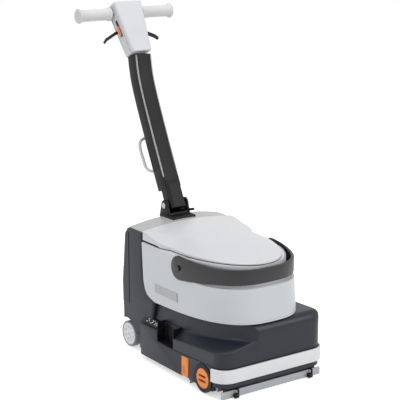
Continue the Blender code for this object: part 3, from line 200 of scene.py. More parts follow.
def outwardSkin(piece, thickness):
    # the skin's faces look away from its middle, and it gets its wall on the inside
    editAll(piece)
    bpy.ops.mesh.normals_make_consistent(inside=False)
    bpy.ops.object.mode_set(mode="OBJECT")
    top = max(piece.data.polygons, key=lambda face: face.center.z + abs(face.normal.z) * .02)
    if top.normal.z < 0:
        editAll(piece)
        bpy.ops.mesh.flip_normals()
        bpy.ops.object.mode_set(mode="OBJECT")
    applyModifier(piece, "SOLIDIFY", thickness=thickness, offset=-1, use_even_offset=False)
    return piece


def openSheet(rows):
    columns = len(rows[0]) - 1
    last = len(rows) - 1
    return spreadSheet(columns, last, lambda u, v: rows[round(v * last)][round(u * columns)],
                       closed=False)


def cutAway(piece, cutter):
    applyModifier(piece, "BOOLEAN", operation="DIFFERENCE", object=cutter, solver="EXACT")
    bpy.data.objects.remove(cutter, do_unlink=True)


def cutterBox(low, high, edge=0.0):
    deselectAll()
    bpy.ops.mesh.primitive_cube_add(size=1, location=[(a + b) / 2 for a, b in zip(low, high)],
                                    scale=[abs(b - a) for a, b in zip(low, high)])
    box = bpy.context.object
    settle(box)
    if edge:
        applyModifier(box, "BEVEL", width=edge, segments=3, limit_method="ANGLE")
    return box


def capEnds(piece):
    editAll(piece)
    bpy.ops.mesh.select_all(action="DESELECT")
    bpy.ops.mesh.select_non_manifold()
    bpy.ops.mesh.edge_face_add()
    bpy.ops.mesh.select_all(action="SELECT")
    bpy.ops.mesh.normals_make_consistent(inside=False)
    bpy.ops.object.mode_set(mode="OBJECT")
    return piece


tipRadius = 0.0004  # stands for a point on the axis of a turned piece


def turnProfile(profile, centre, steps):
    # A circle drawn out along X and resized at every (along, radius) of the profile.
    along, radius = profile[0]
    deselectAll()
    bpy.ops.mesh.primitive_circle_add(vertices=steps, radius=max(radius, tipRadius),
                                      location=(0, 0, along))
    piece = bpy.context.object
    bpy.ops.object.mode_set(mode="EDIT")
    bpy.ops.mesh.select_all(action="SELECT")
    for nextAlong, nextRadius in profile[1:]:
        bpy.ops.mesh.extrude_region_move(
            TRANSFORM_OT_translate={"value": (0, 0, nextAlong - along)})
        share = max(nextRadius, tipRadius) / max(radius, tipRadius)
        bpy.ops.transform.resize(value=(share, share, 1), center_override=(0, 0, nextAlong))
        along, radius = nextAlong, nextRadius
    bpy.ops.mesh.select_all(action="SELECT")
    bpy.ops.mesh.remove_doubles(threshold=tipRadius * .12)
    bpy.ops.mesh.select_all(action="DESELECT")
    bpy.ops.mesh.select_non_manifold()
    bpy.ops.mesh.edge_face_add()
    bpy.ops.mesh.select_all(action="SELECT")
    bpy.ops.mesh.normals_make_consistent(inside=False)
    bpy.ops.object.mode_set(mode="OBJECT")
    settle(piece)
    piece.data.transform(Matrix.Translation(Vector(centre))
                         @ Matrix.Rotation(math.pi / 2, 4, "Y"))
    return piece


def mirrorAcross(piece):
    piece.data.transform(Matrix.Scale(-1, 4, (1, 0, 0)))
    editAll(piece)
    bpy.ops.mesh.normals_make_consistent(inside=False)
    bpy.ops.object.mode_set(mode="OBJECT")


def turnedSide(profile, side, y, z, steps):
    # a turned piece on the left side, or its mirror image on the right, at a height and depth
    piece = turnProfile(profile, (0, 0, 0), steps)
    if side < 0:
        mirrorAcross(piece)
    piece.data.transform(Matrix.Translation((0, y, z)))
    return piece


# materials

def linear(hexText):
    parts = [int(hexText[i:i + 2], 16) / 255 for i in (0, 2, 4)]
    return (*[p / 12.92 if p <= .04045 else ((p + .055) / 1.055) ** 2.4 for p in parts], 1)


def addNode(tree, kind, settings=None, links=None):
    node = tree.nodes.new(kind)
    for key, value in (settings or {}).items():
        if isinstance(key, str) and hasattr(node, key):
            setattr(node, key, value)
        else:
            node.inputs[key].default_value = value
    for key, source in (links or {}).items():
        tree.links.new(source, node.inputs[key])
    return node


def makeFinish(name, look):
    # base and shade are the two tones of the colour; grain is the pitch of the texture in mm.
    material = bpy.data.materials.new(name)
    material.use_nodes = True
    tree = material.node_tree
    shader = tree.nodes["Principled BSDF"]
    where = addNode(tree, "ShaderNodeTexCoord")
    cloud = addNode(tree, "ShaderNodeTexNoise",
                    {"Scale": 1000 / look.get("patch", 60), "Detail": 3, "Roughness": .6},
                    {"Vector": where.outputs["Object"]})
    tone = addNode(tree, "ShaderNodeMix",
                   {"data_type": "RGBA", 6: linear(look["base"]), 7: linear(look["shade"])},
                   {0: cloud.outputs["Fac"]})
    grainPlace = addNode(tree, "ShaderNodeMapping",
                         {"Scale": look.get("stretch", (1, 1, 1))},
                         {"Vector": where.outputs["Object"]})
    if look.get("cells"):
        grain = addNode(tree, "ShaderNodeTexVoronoi", {"Scale": 1000 / look["grain"]},
                        {"Vector": grainPlace.outputs["Vector"]})
        grainOut = grain.outputs["Distance"]
    else:
        grain = addNode(tree, "ShaderNodeTexNoise",
                        {"Scale": 1000 / look["grain"], "Detail": 2, "Roughness": .55},
                        {"Vector": grainPlace.outputs["Vector"]})
        grainOut = grain.outputs["Fac"]
    gloss = addNode(tree, "ShaderNodeMapRange",
                    {"To Min": look["rough"] - look.get("roughSpread", .05),
                     "To Max": look["rough"] + look.get("roughSpread", .05)},
                    {"Value": grainOut})
    relief = addNode(tree, "ShaderNodeBump",
                     {"Strength": look.get("bump", .25), "Distance": look.get("depth", .05) * mm},
                     {"Height": grainOut})
    tree.links.new(tone.outputs[2], shader.inputs["Base Color"])
    tree.links.new(gloss.outputs["Result"], shader.inputs["Roughness"])
    tree.links.new(relief.outputs["Normal"], shader.inputs["Normal"])
    shader.inputs["Metallic"].default_value = look.get("metal", 0)
    if not look.get("metal"):
        shader.inputs["IOR"].default_value = look.get("ior", 1.5)
    shader.inputs["Coat Weight"].default_value = look.get("coat", 0)
    shader.inputs["Coat Roughness"].default_value = look.get("coatRough", .1)
    return material


looks = {
    # ABS with a spark-eroded texture: charcoal, satin, with broad soft highlights on its edges
    "charcoalAbs": {"base": "1d212c", "shade": "191d27", "ior": 1.40, "rough": .40,
                    "grain": 1.1, "bump": .22},
    # the same ABS for the separate side panels, a touch lighter
    "panelAbs": {"base": "20242f", "shade": "1c202a", "ior": 1.40, "rough": .44,
                 "grain": 1.1, "bump": .22},
    # rotationally moulded polyethylene: pale grey, faintly waxy and never quite flat
    "tankPolyethylene": {"base": "cdd0d3", "shade": "c7cacd", "rough": .40, "grain": 2.4,
                         "bump": .12, "depth": .08, "patch": 90},
    # injection moulded ABS: paler and a little glossier than the tank
    "lidAbs": {"base": "d2d3d6", "shade": "cdced1", "rough": .34, "grain": 1.6, "bump": .08,
               "patch": 120},
    # tub inside the tank: darker grey polyethylene
    "tubPolyethylene": {"base": "8b8f95", "shade": "82868c", "rough": .45, "grain": 2.2,
                        "bump": .15},
    # soft bumper of thermoplastic elastomer: near white and dull
    "bumperTpe": {"base": "e3e5e6", "shade": "dbdddf", "rough": .55, "grain": 1.4, "bump": .18},
    # orange ABS of every touch point
    "orangeAbs": {"base": "f28e3c", "shade": "ec8432", "rough": .40, "grain": 1.2, "bump": .15},
    # glass-filled nylon: black and dry with a fine tooth
    "blackNylon": {"base": "070708", "shade": "050506", "ior": 1.36, "rough": .52,
                   "grain": .9, "bump": .35},
    # black pad and seals
    "blackRubber": {"base": "0e0e10", "shade": "0b0b0c", "rough": .68, "grain": 1.0, "bump": .3},
    # black acrylic of the status panel: smooth, with a soft shine
    "statusAcrylic": {"base": "050506", "shade": "040405", "rough": .22, "roughSpread": .02,
                      "grain": 6, "bump": .02, "ior": 1.33},
    # printed marks: matt off-white ink
    "printWhite": {"base": "d9dcdd", "shade": "cfd2d3", "rough": .5, "grain": 1, "bump": .05},
    # cast polyurethane of the squeegee blades: grey and slightly waxy
    "bladePolyurethane": {"base": "b9bdc1", "shade": "b0b4b8", "rough": .48, "grain": 2,
                          "bump": .1},
    # nylon bristle, its tufts drawn 4 mm wide
    "bristleNylon": {"base": "2c3440", "shade": "1b222c", "rough": .6, "grain": 4, "bump": .9,
                     "depth": .8, "cells": True},
    # zinc-plated steel: cool, bright, faintly blotched
    "zincSteel": {"base": "b8babd", "shade": "a5a8ac", "rough": .32, "grain": 3, "bump": .1,
                  "metal": 1},
    # satin anodised aluminium strip: brushed along its length
    "silverStrip": {"base": "96918f", "shade": "8a8584", "rough": .42, "grain": .8, "bump": .12,
                    "metal": 1, "stretch": (1, 1, .04)},
    # wheel nylon: white with a soft shine
    "wheelNylon": {"base": "e6e7e9", "shade": "dfe0e2", "rough": .38, "grain": 1.5, "bump": .08},
    "tyrePolyurethane": {"base": "8e9296", "shade": "85898d", "rough": .6, "grain": 1.2,
                         "bump": .2},
    # grip elastomer: light grey, matt, with a fine stipple
    "gripTpe": {"base": "d2d3d4", "shade": "cacbcc", "rough": .62, "grain": 1.3, "bump": .3,
                "cells": True},
    # ABS of the head shells
    "headAbs": {"base": "d2d4d7", "shade": "cccdd1", "rough": .38, "grain": 1.4, "bump": .1},
    # powder coat on the steel column: black orange peel about 1.5 mm across
    "powderCoat": {"base": "070708", "shade": "050506", "ior": 1.33, "rough": .46,
                   "grain": 1.5, "bump": .4, "depth": .06},
    # nylon of the bail: warm black, satin
    "bailNylon": {"base": "1f1d21", "shade": "1a191c", "rough": .42, "grain": 1.1, "bump": .2},
    # cast aluminium: grey with a sand grain
    "castAluminium": {"base": "8f9295", "shade": "7f8286", "rough": .5, "grain": 1.6, "bump": .5,
                      "metal": 1},
    "batteryCase": {"base": "343a45", "shade": "2e333d", "rough": .5, "grain": 1.5, "bump": .2},
    "controllerCase": {"base": "5b5e62", "shade": "515458", "rough": .42, "grain": 1, "bump": .2,
                       "metal": 1},
    "hosePvc": {"base": "c3c6ca", "shade": "b7babf", "rough": .3, "grain": 2, "bump": .1,
                "coat": .3},
    # satin plate: pale grey, even
    "plateAbs": {"base": "b1b3b2", "shade": "aaacab", "rough": .36, "grain": 1.3, "bump": .1},
}
finishes = {name: makeFinish(name, look) for name, look in looks.items()}
print("finishes made:", len(finishes))


# pieces whose CAD shape is right, with their edges rounded

softPieces = {
    "side_panel_right": ("panelAbs", .0018, 3),
    "side_panel_left": ("panelAbs", .0018, 3), "bumper_strip": ("bumperTpe", .003, 3),
    "charging_socket": ("blackNylon", .0006, 2),
    "column_bracket": ("powderCoat", .0015, 3), "lock_lever": ("blackNylon", .001, 2),
    "side_latch": ("orangeAbs", .0012, 3), "head_front_shell": ("headAbs", .004, 4),
    "head_rear_shell": ("headAbs", .004, 4),
    "trigger_right": ("blackNylon", .0016, 3), "trigger_left": ("blackNylon", .0016, 3),
    "bail_handle": ("bailNylon", .0025, 3),
}
for nodeName, (finish, edge, steps) in softPieces.items():
    softCopy(nodeName, finish, edge, steps)

print("rounded pieces made:", len(softPieces))


# tank and lid

def between(value, marks):
    # straight-line lookup in a list of (place, value)
    for (a, low), (b, high) in zip(marks, marks[1:]):
        if value <= b:
            return low + (high - low) * max(0, value - a) / (b - a)
    return marks[-1][1]


def smoothStep(low, high, value):
    share = min(1, max(0, (value - low) / (high - low)))
    return share * share * (3 - 2 * share)


def noseHalf(ahead, half, start, front, power):
    # half width at a distance ahead of the axle: straight sides, then a rounded nose
    if ahead <= start:
        return half
    share = min(1, (ahead - start) / (front - start))
    return half * max(0, 1 - share ** power) ** (1 / power)


def noseOutline(half, start, front, rear, power, sideSteps=16, noseSteps=64, rearSteps=16):
    # (x, ahead) points round the plan, from the right rear corner by the nose to the left one
    points = [(-half, rear + (start - rear) * i / sideSteps) for i in range(sideSteps)]
    for i in range(noseSteps + 1):
        turn = math.pi * i / noseSteps
        across = abs(math.cos(turn)) ** (2 / power) * (-1 if turn < math.pi / 2 else 1)
        points.append((half * across, start + (front - start) * math.sin(turn) ** (2 / power)))
    points += [(half, start - (start - rear) * (i + 1) / sideSteps) for i in range(sideSteps)]
    points += [(half - 2 * half * (i + 1) / rearSteps, rear) for i in range(rearSteps - 1)]
    return points


def worldPoint(x, ahead, z):
    return Vector((x, axleY - ahead, z))


lidSizes = {
    "half": .1835, "start": .165, "front": .543, "rear": .1035, "power": 2.1, "seam": .4022,
    # by distance ahead of the axle: side wall, sloping facet above it, crown of the top panel
    "lip": [(.103, .0340), (.13, .0300), (.17, .0215), (.214, .0145), (.236, .0100), (.30, .0080),
            (.38, .0065), (.46, .005), (.52, .004), (.543, .003)],
    "facet": [(.103, .002), (.13, .0060), (.17, .0140), (.214, .0200), (.240, .0225), (.30, .0215),
              (.38, .017), (.46, .011), (.52, .005), (.543, .002)],
    "facetRun": [(.103, .006), (.20, .058), (.30, .052), (.543, .040)],
    "crown": [(.103, .013), (.22, .014), (.30, .014), (.38, .012), (.46, .009), (.52, .005),
              (.543, .002)],
    "stepIn": .0115, "stepFrom": .216, "stepTo": .240, "stepFade": .370, "gapRear": .0035,
}


def lidHalf(ahead):
    s = lidSizes
    half = noseHalf(ahead, s["half"], s["start"], s["front"], s["power"])
    inset = smoothStep(s["stepFrom"], s["stepTo"], ahead)
    inset *= 1 - smoothStep(s["stepTo"], s["stepFade"], ahead)
    return half - s["stepIn"] * inset


def lidTop(x, ahead):
    s = lidSizes
    half = max(lidHalf(ahead), .001)
    edge = max(0, half - abs(x))
    facet = between(ahead, s["facetRun"]) * min(1, half / .12)
    rise = between(ahead, s["lip"])
    rise += between(ahead, s["facet"]) * min(1, edge / max(facet, .001))
    if half > facet:
        rise += between(ahead, s["crown"]) * math.sin(
            math.pi / 2 * min(1, max(0, (edge - facet) / (half - facet))))
    return s["seam"] + rise


def makeLid():
    s = lidSizes
    outline = noseOutline(s["half"], s["start"], s["front"], s["rear"], s["power"], sideSteps=30)
    outline = [(math.copysign(min(abs(x), lidHalf(ahead)), x), ahead) for x, ahead in outline]
    spineRear, spineFront = .20, .42
    shares = [0, .008, .025, .05, .09, .14, .20, .26, .32, .40, .50, .62, .75, .88, 1]

    def ring(share, level):
        points = []
        for x, ahead in outline:
            middle = min(spineFront, max(spineRear, ahead))
            px, pa = x * (1 - share), ahead + (middle - ahead) * share
            gap = s["gapRear"] * (1 - smoothStep(.19, .205, ahead))
            low = s["seam"] + gap
            z = {"top": lidTop(px, pa), "low": low,
                 "wall": max(low + .001, lidTop(px, pa) - .0022)}[level]
            points.append(worldPoint(px, pa, z))
        return points
    rings = [ring(share, "low") for share in (1, .5, .1, .03, .012, .006)]
    rings.append([p + Vector((0, 0, .0008)) for p in ring(0, "low")])
    rings.append(ring(0, "wall"))
    rings += [[p - Vector((0, 0, .0007)) for p in ring(.004, "top")]]
    rings += [ring(share, "top") for share in shares[2:]]
    piece = loftRings(rings)
    return finishPiece(piece, "tank_lid_shell", "lidAbs", node="tank_lid", smooth=40)


makeLid()
print("lid made")

tankSizes = {
    "start": .215, "power": 2.4, "proudPower": 3.0, "rim": .3965, "rear": .1025,
    # by height: half width, front, share of the squarer outline below the bail's pocket
    "half": [(.205, .1855), (.24, .1872), (.3255, .1880), (.3325, .1875), (.3370, .1832),
             (.3965, .1832)],
    "front": [(.205, .5760), (.24, .5740), (.3255, .5625), (.3325, .5605), (.3370, .5475),
              (.3965, .5400)],
    "square": [(.205, .8), (.3255, 1), (.3325, .96), (.3370, .12), (.3965, 0)],
    "rearLine": [(.205, .180), (.220, .1365), (.243, .1185), (.272, .1105), (.396, .1025)],
    "pocketFrom": .268, "pocketTo": .306,
}


def seatHeight(ahead):
    return .205 + .017 * (ahead - .102) / .470


def makeTank():
    s = tankSizes
    levels = [.2052, .2070, .210, .216, .225, .24, .255, .27, .29, .31, .318, .3255, .3290, .3325,
              .3345, .3370, .344, .352, .36, .375, .388, .3935, .3958, .3965]

    def ring(level, inset=0.0, z=None):
        rear = between(level, s["rearLine"]) + inset
        outer = noseOutline(between(.30, s["half"]) - inset, s["start"],
                            between(.30, s["front"]) - .031 * (level - .30) / .191 - inset, rear,
                            s["proudPower"], sideSteps=30)
        inner = noseOutline(between(level, s["half"]) - inset, s["start"],
                            between(level, s["front"]) - inset, rear, s["power"], sideSteps=30)
        square = between(level, s["square"])
        points = []
        for (ox, oa), (ix, ia) in zip(outer, inner):
            rearShare = 1 - smoothStep(s["pocketFrom"], s["pocketTo"], ia)
            share = max(square, rearShare) if level > .30 else square
            x, ahead = ix + (ox - ix) * share, ia + (oa - ia) * share
            height = z if z is not None else level
            if level < .225:
                height += seatHeight(ahead) + .0008 - .2052
                height = min(height, .2265 + (level - .205) * .1) if level > .2053 else height
            points.append(worldPoint(x, ahead, height))
        return points
    rings = [ring(.2052, .12), ring(.2052, .05), ring(.2052, .004), ring(.2052, .0012)]
    rings += [ring(level) for level in levels[1:]]
    outerRim = ring(.3965, .0012, .3992)
    lidLine = noseOutline(lidSizes["half"], lidSizes["start"], lidSizes["front"],
                          lidSizes["rear"] + .001, lidSizes["power"], sideSteps=30)
    innerRim = [worldPoint(math.copysign(max(0, min(abs(x), lidHalf(ahead)) - .006), x),
                           min(ahead, lidSizes["front"] - .007), .3997) for x, ahead in lidLine]
    rings.append(outerRim)
    rings += [[a.lerp(b, share) for a, b in zip(outerRim, innerRim)] for share in (.1, .3, .6, .85, 1)]
    for drop, inward in ((.001, .004), (.006, .006), (.030, .007)):
        rings.append([Vector((p.x * (1 - inward / .18), p.y + inward * .3, p.z - drop))
                      for p in innerRim])
    piece = capEnds(loftRings(rings))
    return finishPiece(piece, "solution_tank_shell", "tankPolyethylene", node="solution_tank",
                       smooth=35)


makeTank()
print("tank made")


def makeLidSeal():
    s = lidSizes
    outline = noseOutline(s["half"], s["start"], s["front"], s["rear"], s["power"], sideSteps=30)

    def ring(inset, z):
        points = []
        for x, ahead in outline:
            half = min(abs(x), lidHalf(ahead))
            side = max(0, half - inset)
            points.append(worldPoint(math.copysign(side, x),
                                     min(max(ahead, s["rear"] + inset), s["front"] - inset), z))
        return points
    corners = [ring(.0025, .3998), ring(.0025, s["seam"] + .0004), ring(.012, s["seam"] + .0004),
               ring(.012, .3998)]
    piece = loftRings(corners + corners[:1])
    return finishPiece(piece, "lid_seal_ring", "blackRubber", node="lid_seal")


makeLidSeal()

plateSizes = {"rear": .184, "front": .315, "low": .247, "high": .276, "skin": .1890}


def makeSidePlate():
    # a plain satin plate on the tank's low side
    s = plateSizes
    rows = []
    for k in range(5):
        z = s["low"] + (s["high"] - s["low"]) * k / 4
        rows.append([worldPoint(-s["skin"] + .0008, s["rear"] + (s["front"] - s["rear"]) * m / 12
                                - (z - s["low"]) * .10, z) for m in range(13)])
    plate = openSheet(rows)
    applyModifier(plate, "SOLIDIFY", thickness=.0018, offset=0)
    return finishPiece(plate, "side_plate", "plateAbs", body="tank", slot="tank_polyethylene",
                       edge=.0003, steps=1)


makeSidePlate()


# lower body and rear housing

deckSizes = {
    "half": .205, "front": .583, "rear": .112, "corner": .046, "skirt": .036,
    "edge": .128, "edgeClimb": .021, "climbFrom": .314, "climbRun": .223, "rise": .019,
    "footHalf": .173, "footStart": .215, "footFront": .600, "footPower": 2.4,
    "frontRound": .030, "sideRound": .026, "wall": .003,
    "recessRear": .222, "recessFront": .314, "recessWall": .173, "recessFloor": .0895,
}


def deckEdge(ahead):
    s = deckSizes
    return s["edge"] + max(0, s["edgeClimb"] * (ahead - s["climbFrom"]) / s["climbRun"])


def quarterDrop(radius, distance):
    # how far a rounded edge has fallen at a distance from its outer side
    if distance >= radius:
        return 0
    return radius - math.sqrt(max(0, radius ** 2 - (radius - distance) ** 2))


def deckSection(ahead):
    # (x, z) across the deck from the low side's skirt to the high side's skirt
    s = deckSizes
    toFront = max(0, s["front"] - ahead)
    outer = s["half"]
    if toFront < s["corner"]:
        outer -= s["corner"] - math.sqrt(max(0, s["corner"] ** 2 - (s["corner"] - toFront) ** 2))
    foot = min(noseHalf(ahead, s["footHalf"], s["footStart"], s["footFront"], s["footPower"]),
               outer - .012)
    edge = deckEdge(ahead) - quarterDrop(.005, toFront)
    seat = seatHeight(ahead) - quarterDrop(s["frontRound"], toFront) * 1.15
    lip = edge + s["rise"]
    points = [(-outer, s["skirt"]), (-outer, edge - .020), (-outer, edge - .008),
              (-outer, edge - .0045), (-outer + .0013, edge - .0013), (-outer + .0045, edge)]
    deckRun = outer - .0045 - foot - .004
    points += [(-outer + .0045 + deckRun * k / 5, edge + (lip - edge - .001) * k / 5)
               for k in range(1, 5)]
    height = max(.004, seat - lip)
    points += [(-foot - .004, lip - .0005), (-foot - .0012, lip + .0012), (-foot + .0004, lip + .005)]
    points += [(-foot + .0012 + .0036 * k / 4, lip + .005 + (height - .013) * k / 4)
               for k in range(1, 4)]
    points += [(-foot + .006, seat - .0080), (-foot + .0072, seat - .0035),
               (-foot + .0100, seat - .0010), (-foot + .014, seat)]
    right = outer - s["sideRound"]
    start = -foot + .014
    points += [(start + (right - start) * k / 6, seat) for k in range(1, 7)]
    for k in range(1, 7):
        turn = math.pi / 2 * k / 6
        points.append((right + s["sideRound"] * math.sin(turn),
                       seat - s["sideRound"] * .8 * (1 - math.cos(turn))))
    points += [(outer, seat - s["sideRound"] * .8 - .012), (outer, s["skirt"])]
    return points


def makeDeck():
    s = deckSizes
    places = [s["rear"] + (.50 - s["rear"]) * k / 66 for k in range(67)]
    places += [.50 + .037 * k / 10 for k in range(1, 11)]
    places += [s["front"] - s["corner"] * (1 - math.sin(math.pi / 2 * k / 22)) for k in range(1, 23)]
    rows = [[worldPoint(x, ahead, z) for x, z in deckSection(ahead)] for ahead in places]
    front = rows[-1]
    for share in (.5, 1):
        rows.append([Vector((p.x, p.y, p.z + (s["skirt"] - p.z) * share)) for p in front])
    deck = outwardSkin(openSheet(rows), s["wall"])
    recess = cutterBox(worldPoint(-.25, s["recessFront"], s["recessFloor"]),
                       worldPoint(-s["recessWall"], s["recessRear"], .19), edge=.002)
    cutAway(deck, recess)
    return finishPiece(deck, "deck_shell", "charcoalAbs", node="body_shell", smooth=38)


makeDeck()

towerSizes = {
    "half": .185, "corner": .010, "sideTop": .4285, "crown": .0185, "archRadius": .054, "archFrom": .142,
    "backLine": [(.075, .027), (.234, .031), (.405, .012), (.4245, -.001), (.4285, -.009)],
    "frontLine": [(.075, .1500), (.205, .1700), (.222, .1430), (.236, .1240), (.252, .1100),
                  (.28, .1010), (.30, .098), (.4285, .098)],
}


def towerCrown(x):
    return towerSizes["crown"] * max(0, 1 - (x / .178) ** 2)


def makeTower():
    s = towerSizes
    levels = [.075, .10, .13, .16, .19, .205, .213, .222, .229, .236, .244, .252, .266, .28, .30,
              .33, .36, .39, .405, .414, .4200, .4245, .4265, .4278, .4285]

    def ring(level, inset=0.0, lift=0.0):
        back = -between(level, s["backLine"]) + inset
        front = between(level, s["frontLine"]) - inset
        half, corner = s["half"] - inset, s["corner"]
        points = []
        for cx, ca, start in ((-half + corner, front - corner, 180),
                              (half - corner, front - corner, 90),
                              (half - corner, back + corner, 0),
                              (-half + corner, back + corner, -90)):
            for k in range(7):
                turn = math.radians(start - 15 * k)
                points.append((cx + corner * math.cos(turn), ca + corner * math.sin(turn)))
            if start in (90, -90):
                continue
            far = half - corner
            across = [-far + 2 * far * k / 16 for k in range(1, 16)]
            points += [(x, front) if start == 180 else (-x, back) for x in across]
        share = smoothStep(.405, .4285, level)
        return [worldPoint(x, a, level + towerCrown(x) * share + lift) for x, a in points]
    rings = [ring(level) for level in levels]
    rings += [ring(.4285, inset, .0004) for inset in (.0012, .004)]
    tower = capEnds(loftRings(rings))
    for side in (-1, 1):
        deselectAll()
        bpy.ops.mesh.primitive_cylinder_add(
            vertices=72, radius=s["archRadius"], depth=.08, rotation=(0, math.pi / 2, 0),
            location=(side * (s["archFrom"] + .04), axleY, axleLow.z + .045))
        arch = bpy.context.object
        settle(arch)
        cutAway(tower, arch)
        cutAway(tower, cutterBox((side * s["archFrom"], axleY - .054, 0),
                                 (side * (s["archFrom"] + .08), axleY + .2, .045)))
    return finishPiece(tower, "housing_shell", "charcoalAbs", body="chassis", slot="charcoal_abs",
                       smooth=38)


makeTower()


def makeRearCover():
    # follows the housing's back and both its flanks, a little proud of them
    s = towerSizes
    proud, low, high, edgeAhead, corner = .0014, .160, .4135, .016, .012
    rows = []
    levels = [low, low + .002, .18, .20, .22, .234, .26, .29, .32, .35, .38, .400, .408,
              high - .002, high]
    for level in levels:
        back = -between(level, s["backLine"]) - proud
        half = s["half"] + proud
        row = [(-half, edgeAhead), (-half, edgeAhead - .002), (-half, (edgeAhead + back) / 2)]
        row += [(-half + corner - corner * math.cos(math.radians(15 * k)),
                 back + corner - corner * math.sin(math.radians(15 * k))) for k in range(7)]
        row += [(-half + corner + 2 * (half - corner) * k / 16, back) for k in range(1, 16)]
        row += [(-x, a) for x, a in reversed(row[:10])]
        rows.append([worldPoint(x, a, level) for x, a in row])
    cover = openSheet(rows)
    editAll(cover)
    bpy.ops.mesh.normals_make_consistent(inside=False)
    bpy.ops.object.mode_set(mode="OBJECT")
    rearFace = max(cover.data.polygons, key=lambda face: face.center.y)
    if rearFace.normal.y < 0:
        editAll(cover)
        bpy.ops.mesh.flip_normals()
        bpy.ops.object.mode_set(mode="OBJECT")
    applyModifier(cover, "SOLIDIFY", thickness=.0020, offset=-1)
    return finishPiece(cover, "rear_cover_shell", "charcoalAbs", node="rear_cover", edge=.0007,
                       steps=2, smooth=35)


makeRearCover()


def makeRecess():
    # the pocket round the charging inlet: floor, back and two ends
    s = deckSizes
    box = cutterBox(worldPoint(-.2045, s["recessFront"] + .0005, s["recessFloor"] - .0005),
                    worldPoint(-s["recessWall"] + .0005, s["recessRear"] - .0005, .158))
    editAll(box)
    bpy.ops.mesh.select_mode(type="FACE")
    bpy.ops.mesh.select_all(action="DESELECT")
    bpy.ops.object.mode_set(mode="OBJECT")
    for face in box.data.polygons:
        face.select = face.normal.z > .9 or face.normal.x < -.9
    bpy.ops.object.mode_set(mode="EDIT")
    bpy.ops.mesh.select_mode(type="FACE")
    bpy.ops.mesh.delete(type="FACE")
    bpy.ops.object.mode_set(mode="OBJECT")
    applyModifier(box, "SOLIDIFY", thickness=.0015, offset=1)
    return finishPiece(box, "recess_pocket", "blackNylon", body="chassis", slot="black_nylon",
                       edge=.0004, steps=1)


makeRecess()


topPlateSizes = {"half": .179, "front": .0965, "back": .0105, "rise": .0022, "fall": .0006}


def makeTopPlate():
    s = topPlateSizes
    rows = []
    marks = [0, .004, .012] + [.02 + .96 * k / 14 for k in range(15)] + [.988, .996, 1]
    for k in range(9):
        ahead = s["back"] + (s["front"] - s["back"]) * k / 8
        row = []
        for m in marks:
            x = s["half"] * (2 * m - 1)
            fall = s["fall"] if k in (0, 8) or m in (0, 1) else 0
            row.append(worldPoint(x, ahead,
                                  towerSizes["sideTop"] + s["rise"] + towerCrown(x) - fall))
        rows.append(row)
    plate = outwardSkin(openSheet(rows), s["rise"])
    return finishPiece(plate, "top_plate", "plateAbs", node="top_cover", edge=.0004, steps=1,
                       smooth=30)


makeTopPlate()
print("lower body and housing made")


# column, loop and grips

columnSizes = {
    # (behind the axle, height) along the middle of the column
    "line": [(.010, .535), (.026, .566), (.056, .626), (.083, .680), (.107, .730), (.130, .777),
             (.151, .822), (.168, .861), (.183, .900), (.1925, .940), (.1990, .9780)],
    "half": .0318, "depth": .056, "round": .0045,
}
bootSizes = {
    "line": [(-.030, .472), (-.026, .480), (-.018, .495), (-.008, .515), (.004, .540),
             (.014, .558)],
    "half": .0300, "depth": .050, "round": .012,
}


def sweptBar(line, half, depth, radius, sides=3):
    # a rounded rectangular bar drawn along a line in the machine's middle plane
    rings = []
    for k, (y, z) in enumerate(line):
        before, after = line[max(0, k - 1)], line[min(len(line) - 1, k + 1)]
        run = math.hypot(after[0] - before[0], after[1] - before[1])
        along = ((after[0] - before[0]) / run, (after[1] - before[1]) / run)
        back = (along[1], -along[0])
        ring = []
        for cx, cd, start in ((half - radius, depth / 2 - radius, 0),
                              (-half + radius, depth / 2 - radius, 90),
                              (-half + radius, -depth / 2 + radius, 180),
                              (half - radius, -depth / 2 + radius, 270)):
            for m in range(sides + 1):
                turn = math.radians(start + 90 * m / sides)
                out = cd + radius * math.sin(turn)
                ring.append(Vector((cx + radius * math.cos(turn), axleY + y + back[0] * out,
                                    z + back[1] * out)))
        rings.append(ring)
    return rings


def makeColumn():
    s = columnSizes
    line = []
    for (y0, z0), (y1, z1) in zip(s["line"], s["line"][1:]):
        line += [(y0 + (y1 - y0) * k / 3, z0 + (z1 - z0) * k / 3) for k in range(3)]
    line.append(s["line"][-1])
    column = capEnds(loftRings(sweptBar(line, s["half"], s["depth"], s["round"])))
    finishPiece(column, "column_sleeve", "powderCoat", node="column_tube", edge=.0006, steps=1,
                smooth=30)
    b = bootSizes
    boot = capEnds(loftRings(sweptBar(b["line"], b["half"], b["depth"], b["round"], sides=5)))
    finishPiece(boot, "column_boot", "blackNylon", body="column", slot="black_nylon", edge=.0015,
                steps=2, smooth=40)


# (in from the column's side, out from its front) across a strip
trimSection = [(.0052, .0001), (.0034, .0006), (.0012, -.0006), (.0001, -.0026)]


def makeTrims():
    # satin strips laid on the two front corners of the column
    s = columnSizes
    for side, tag in ((-1, "right"), (1, "left")):
        rows = []
        path = s["line"][1:]
        for k, (y, z) in enumerate(path):
            before, after = path[max(0, k - 1)], path[min(len(path) - 1, k + 1)]
            run = math.hypot(after[0] - before[0], after[1] - before[1])
            back = ((after[1] - before[1]) / run, -(after[0] - before[0]) / run)
            row = []
            for inward, proud in trimSection:
                across, out = s["half"] - inward, s["depth"] / 2 + proud
                row.append(Vector((side * across, axleY + y - back[0] * out, z - back[1] * out)))
            rows.append(row)
        strip = openSheet(rows)
        applyModifier(strip, "SOLIDIFY", thickness=.0012, offset=0)
        applyModifier(strip, "SUBSURF", levels=1, render_levels=1)
        finishPiece(strip, "column_strip_" + tag, "silverStrip", node="column_trim_" + tag)


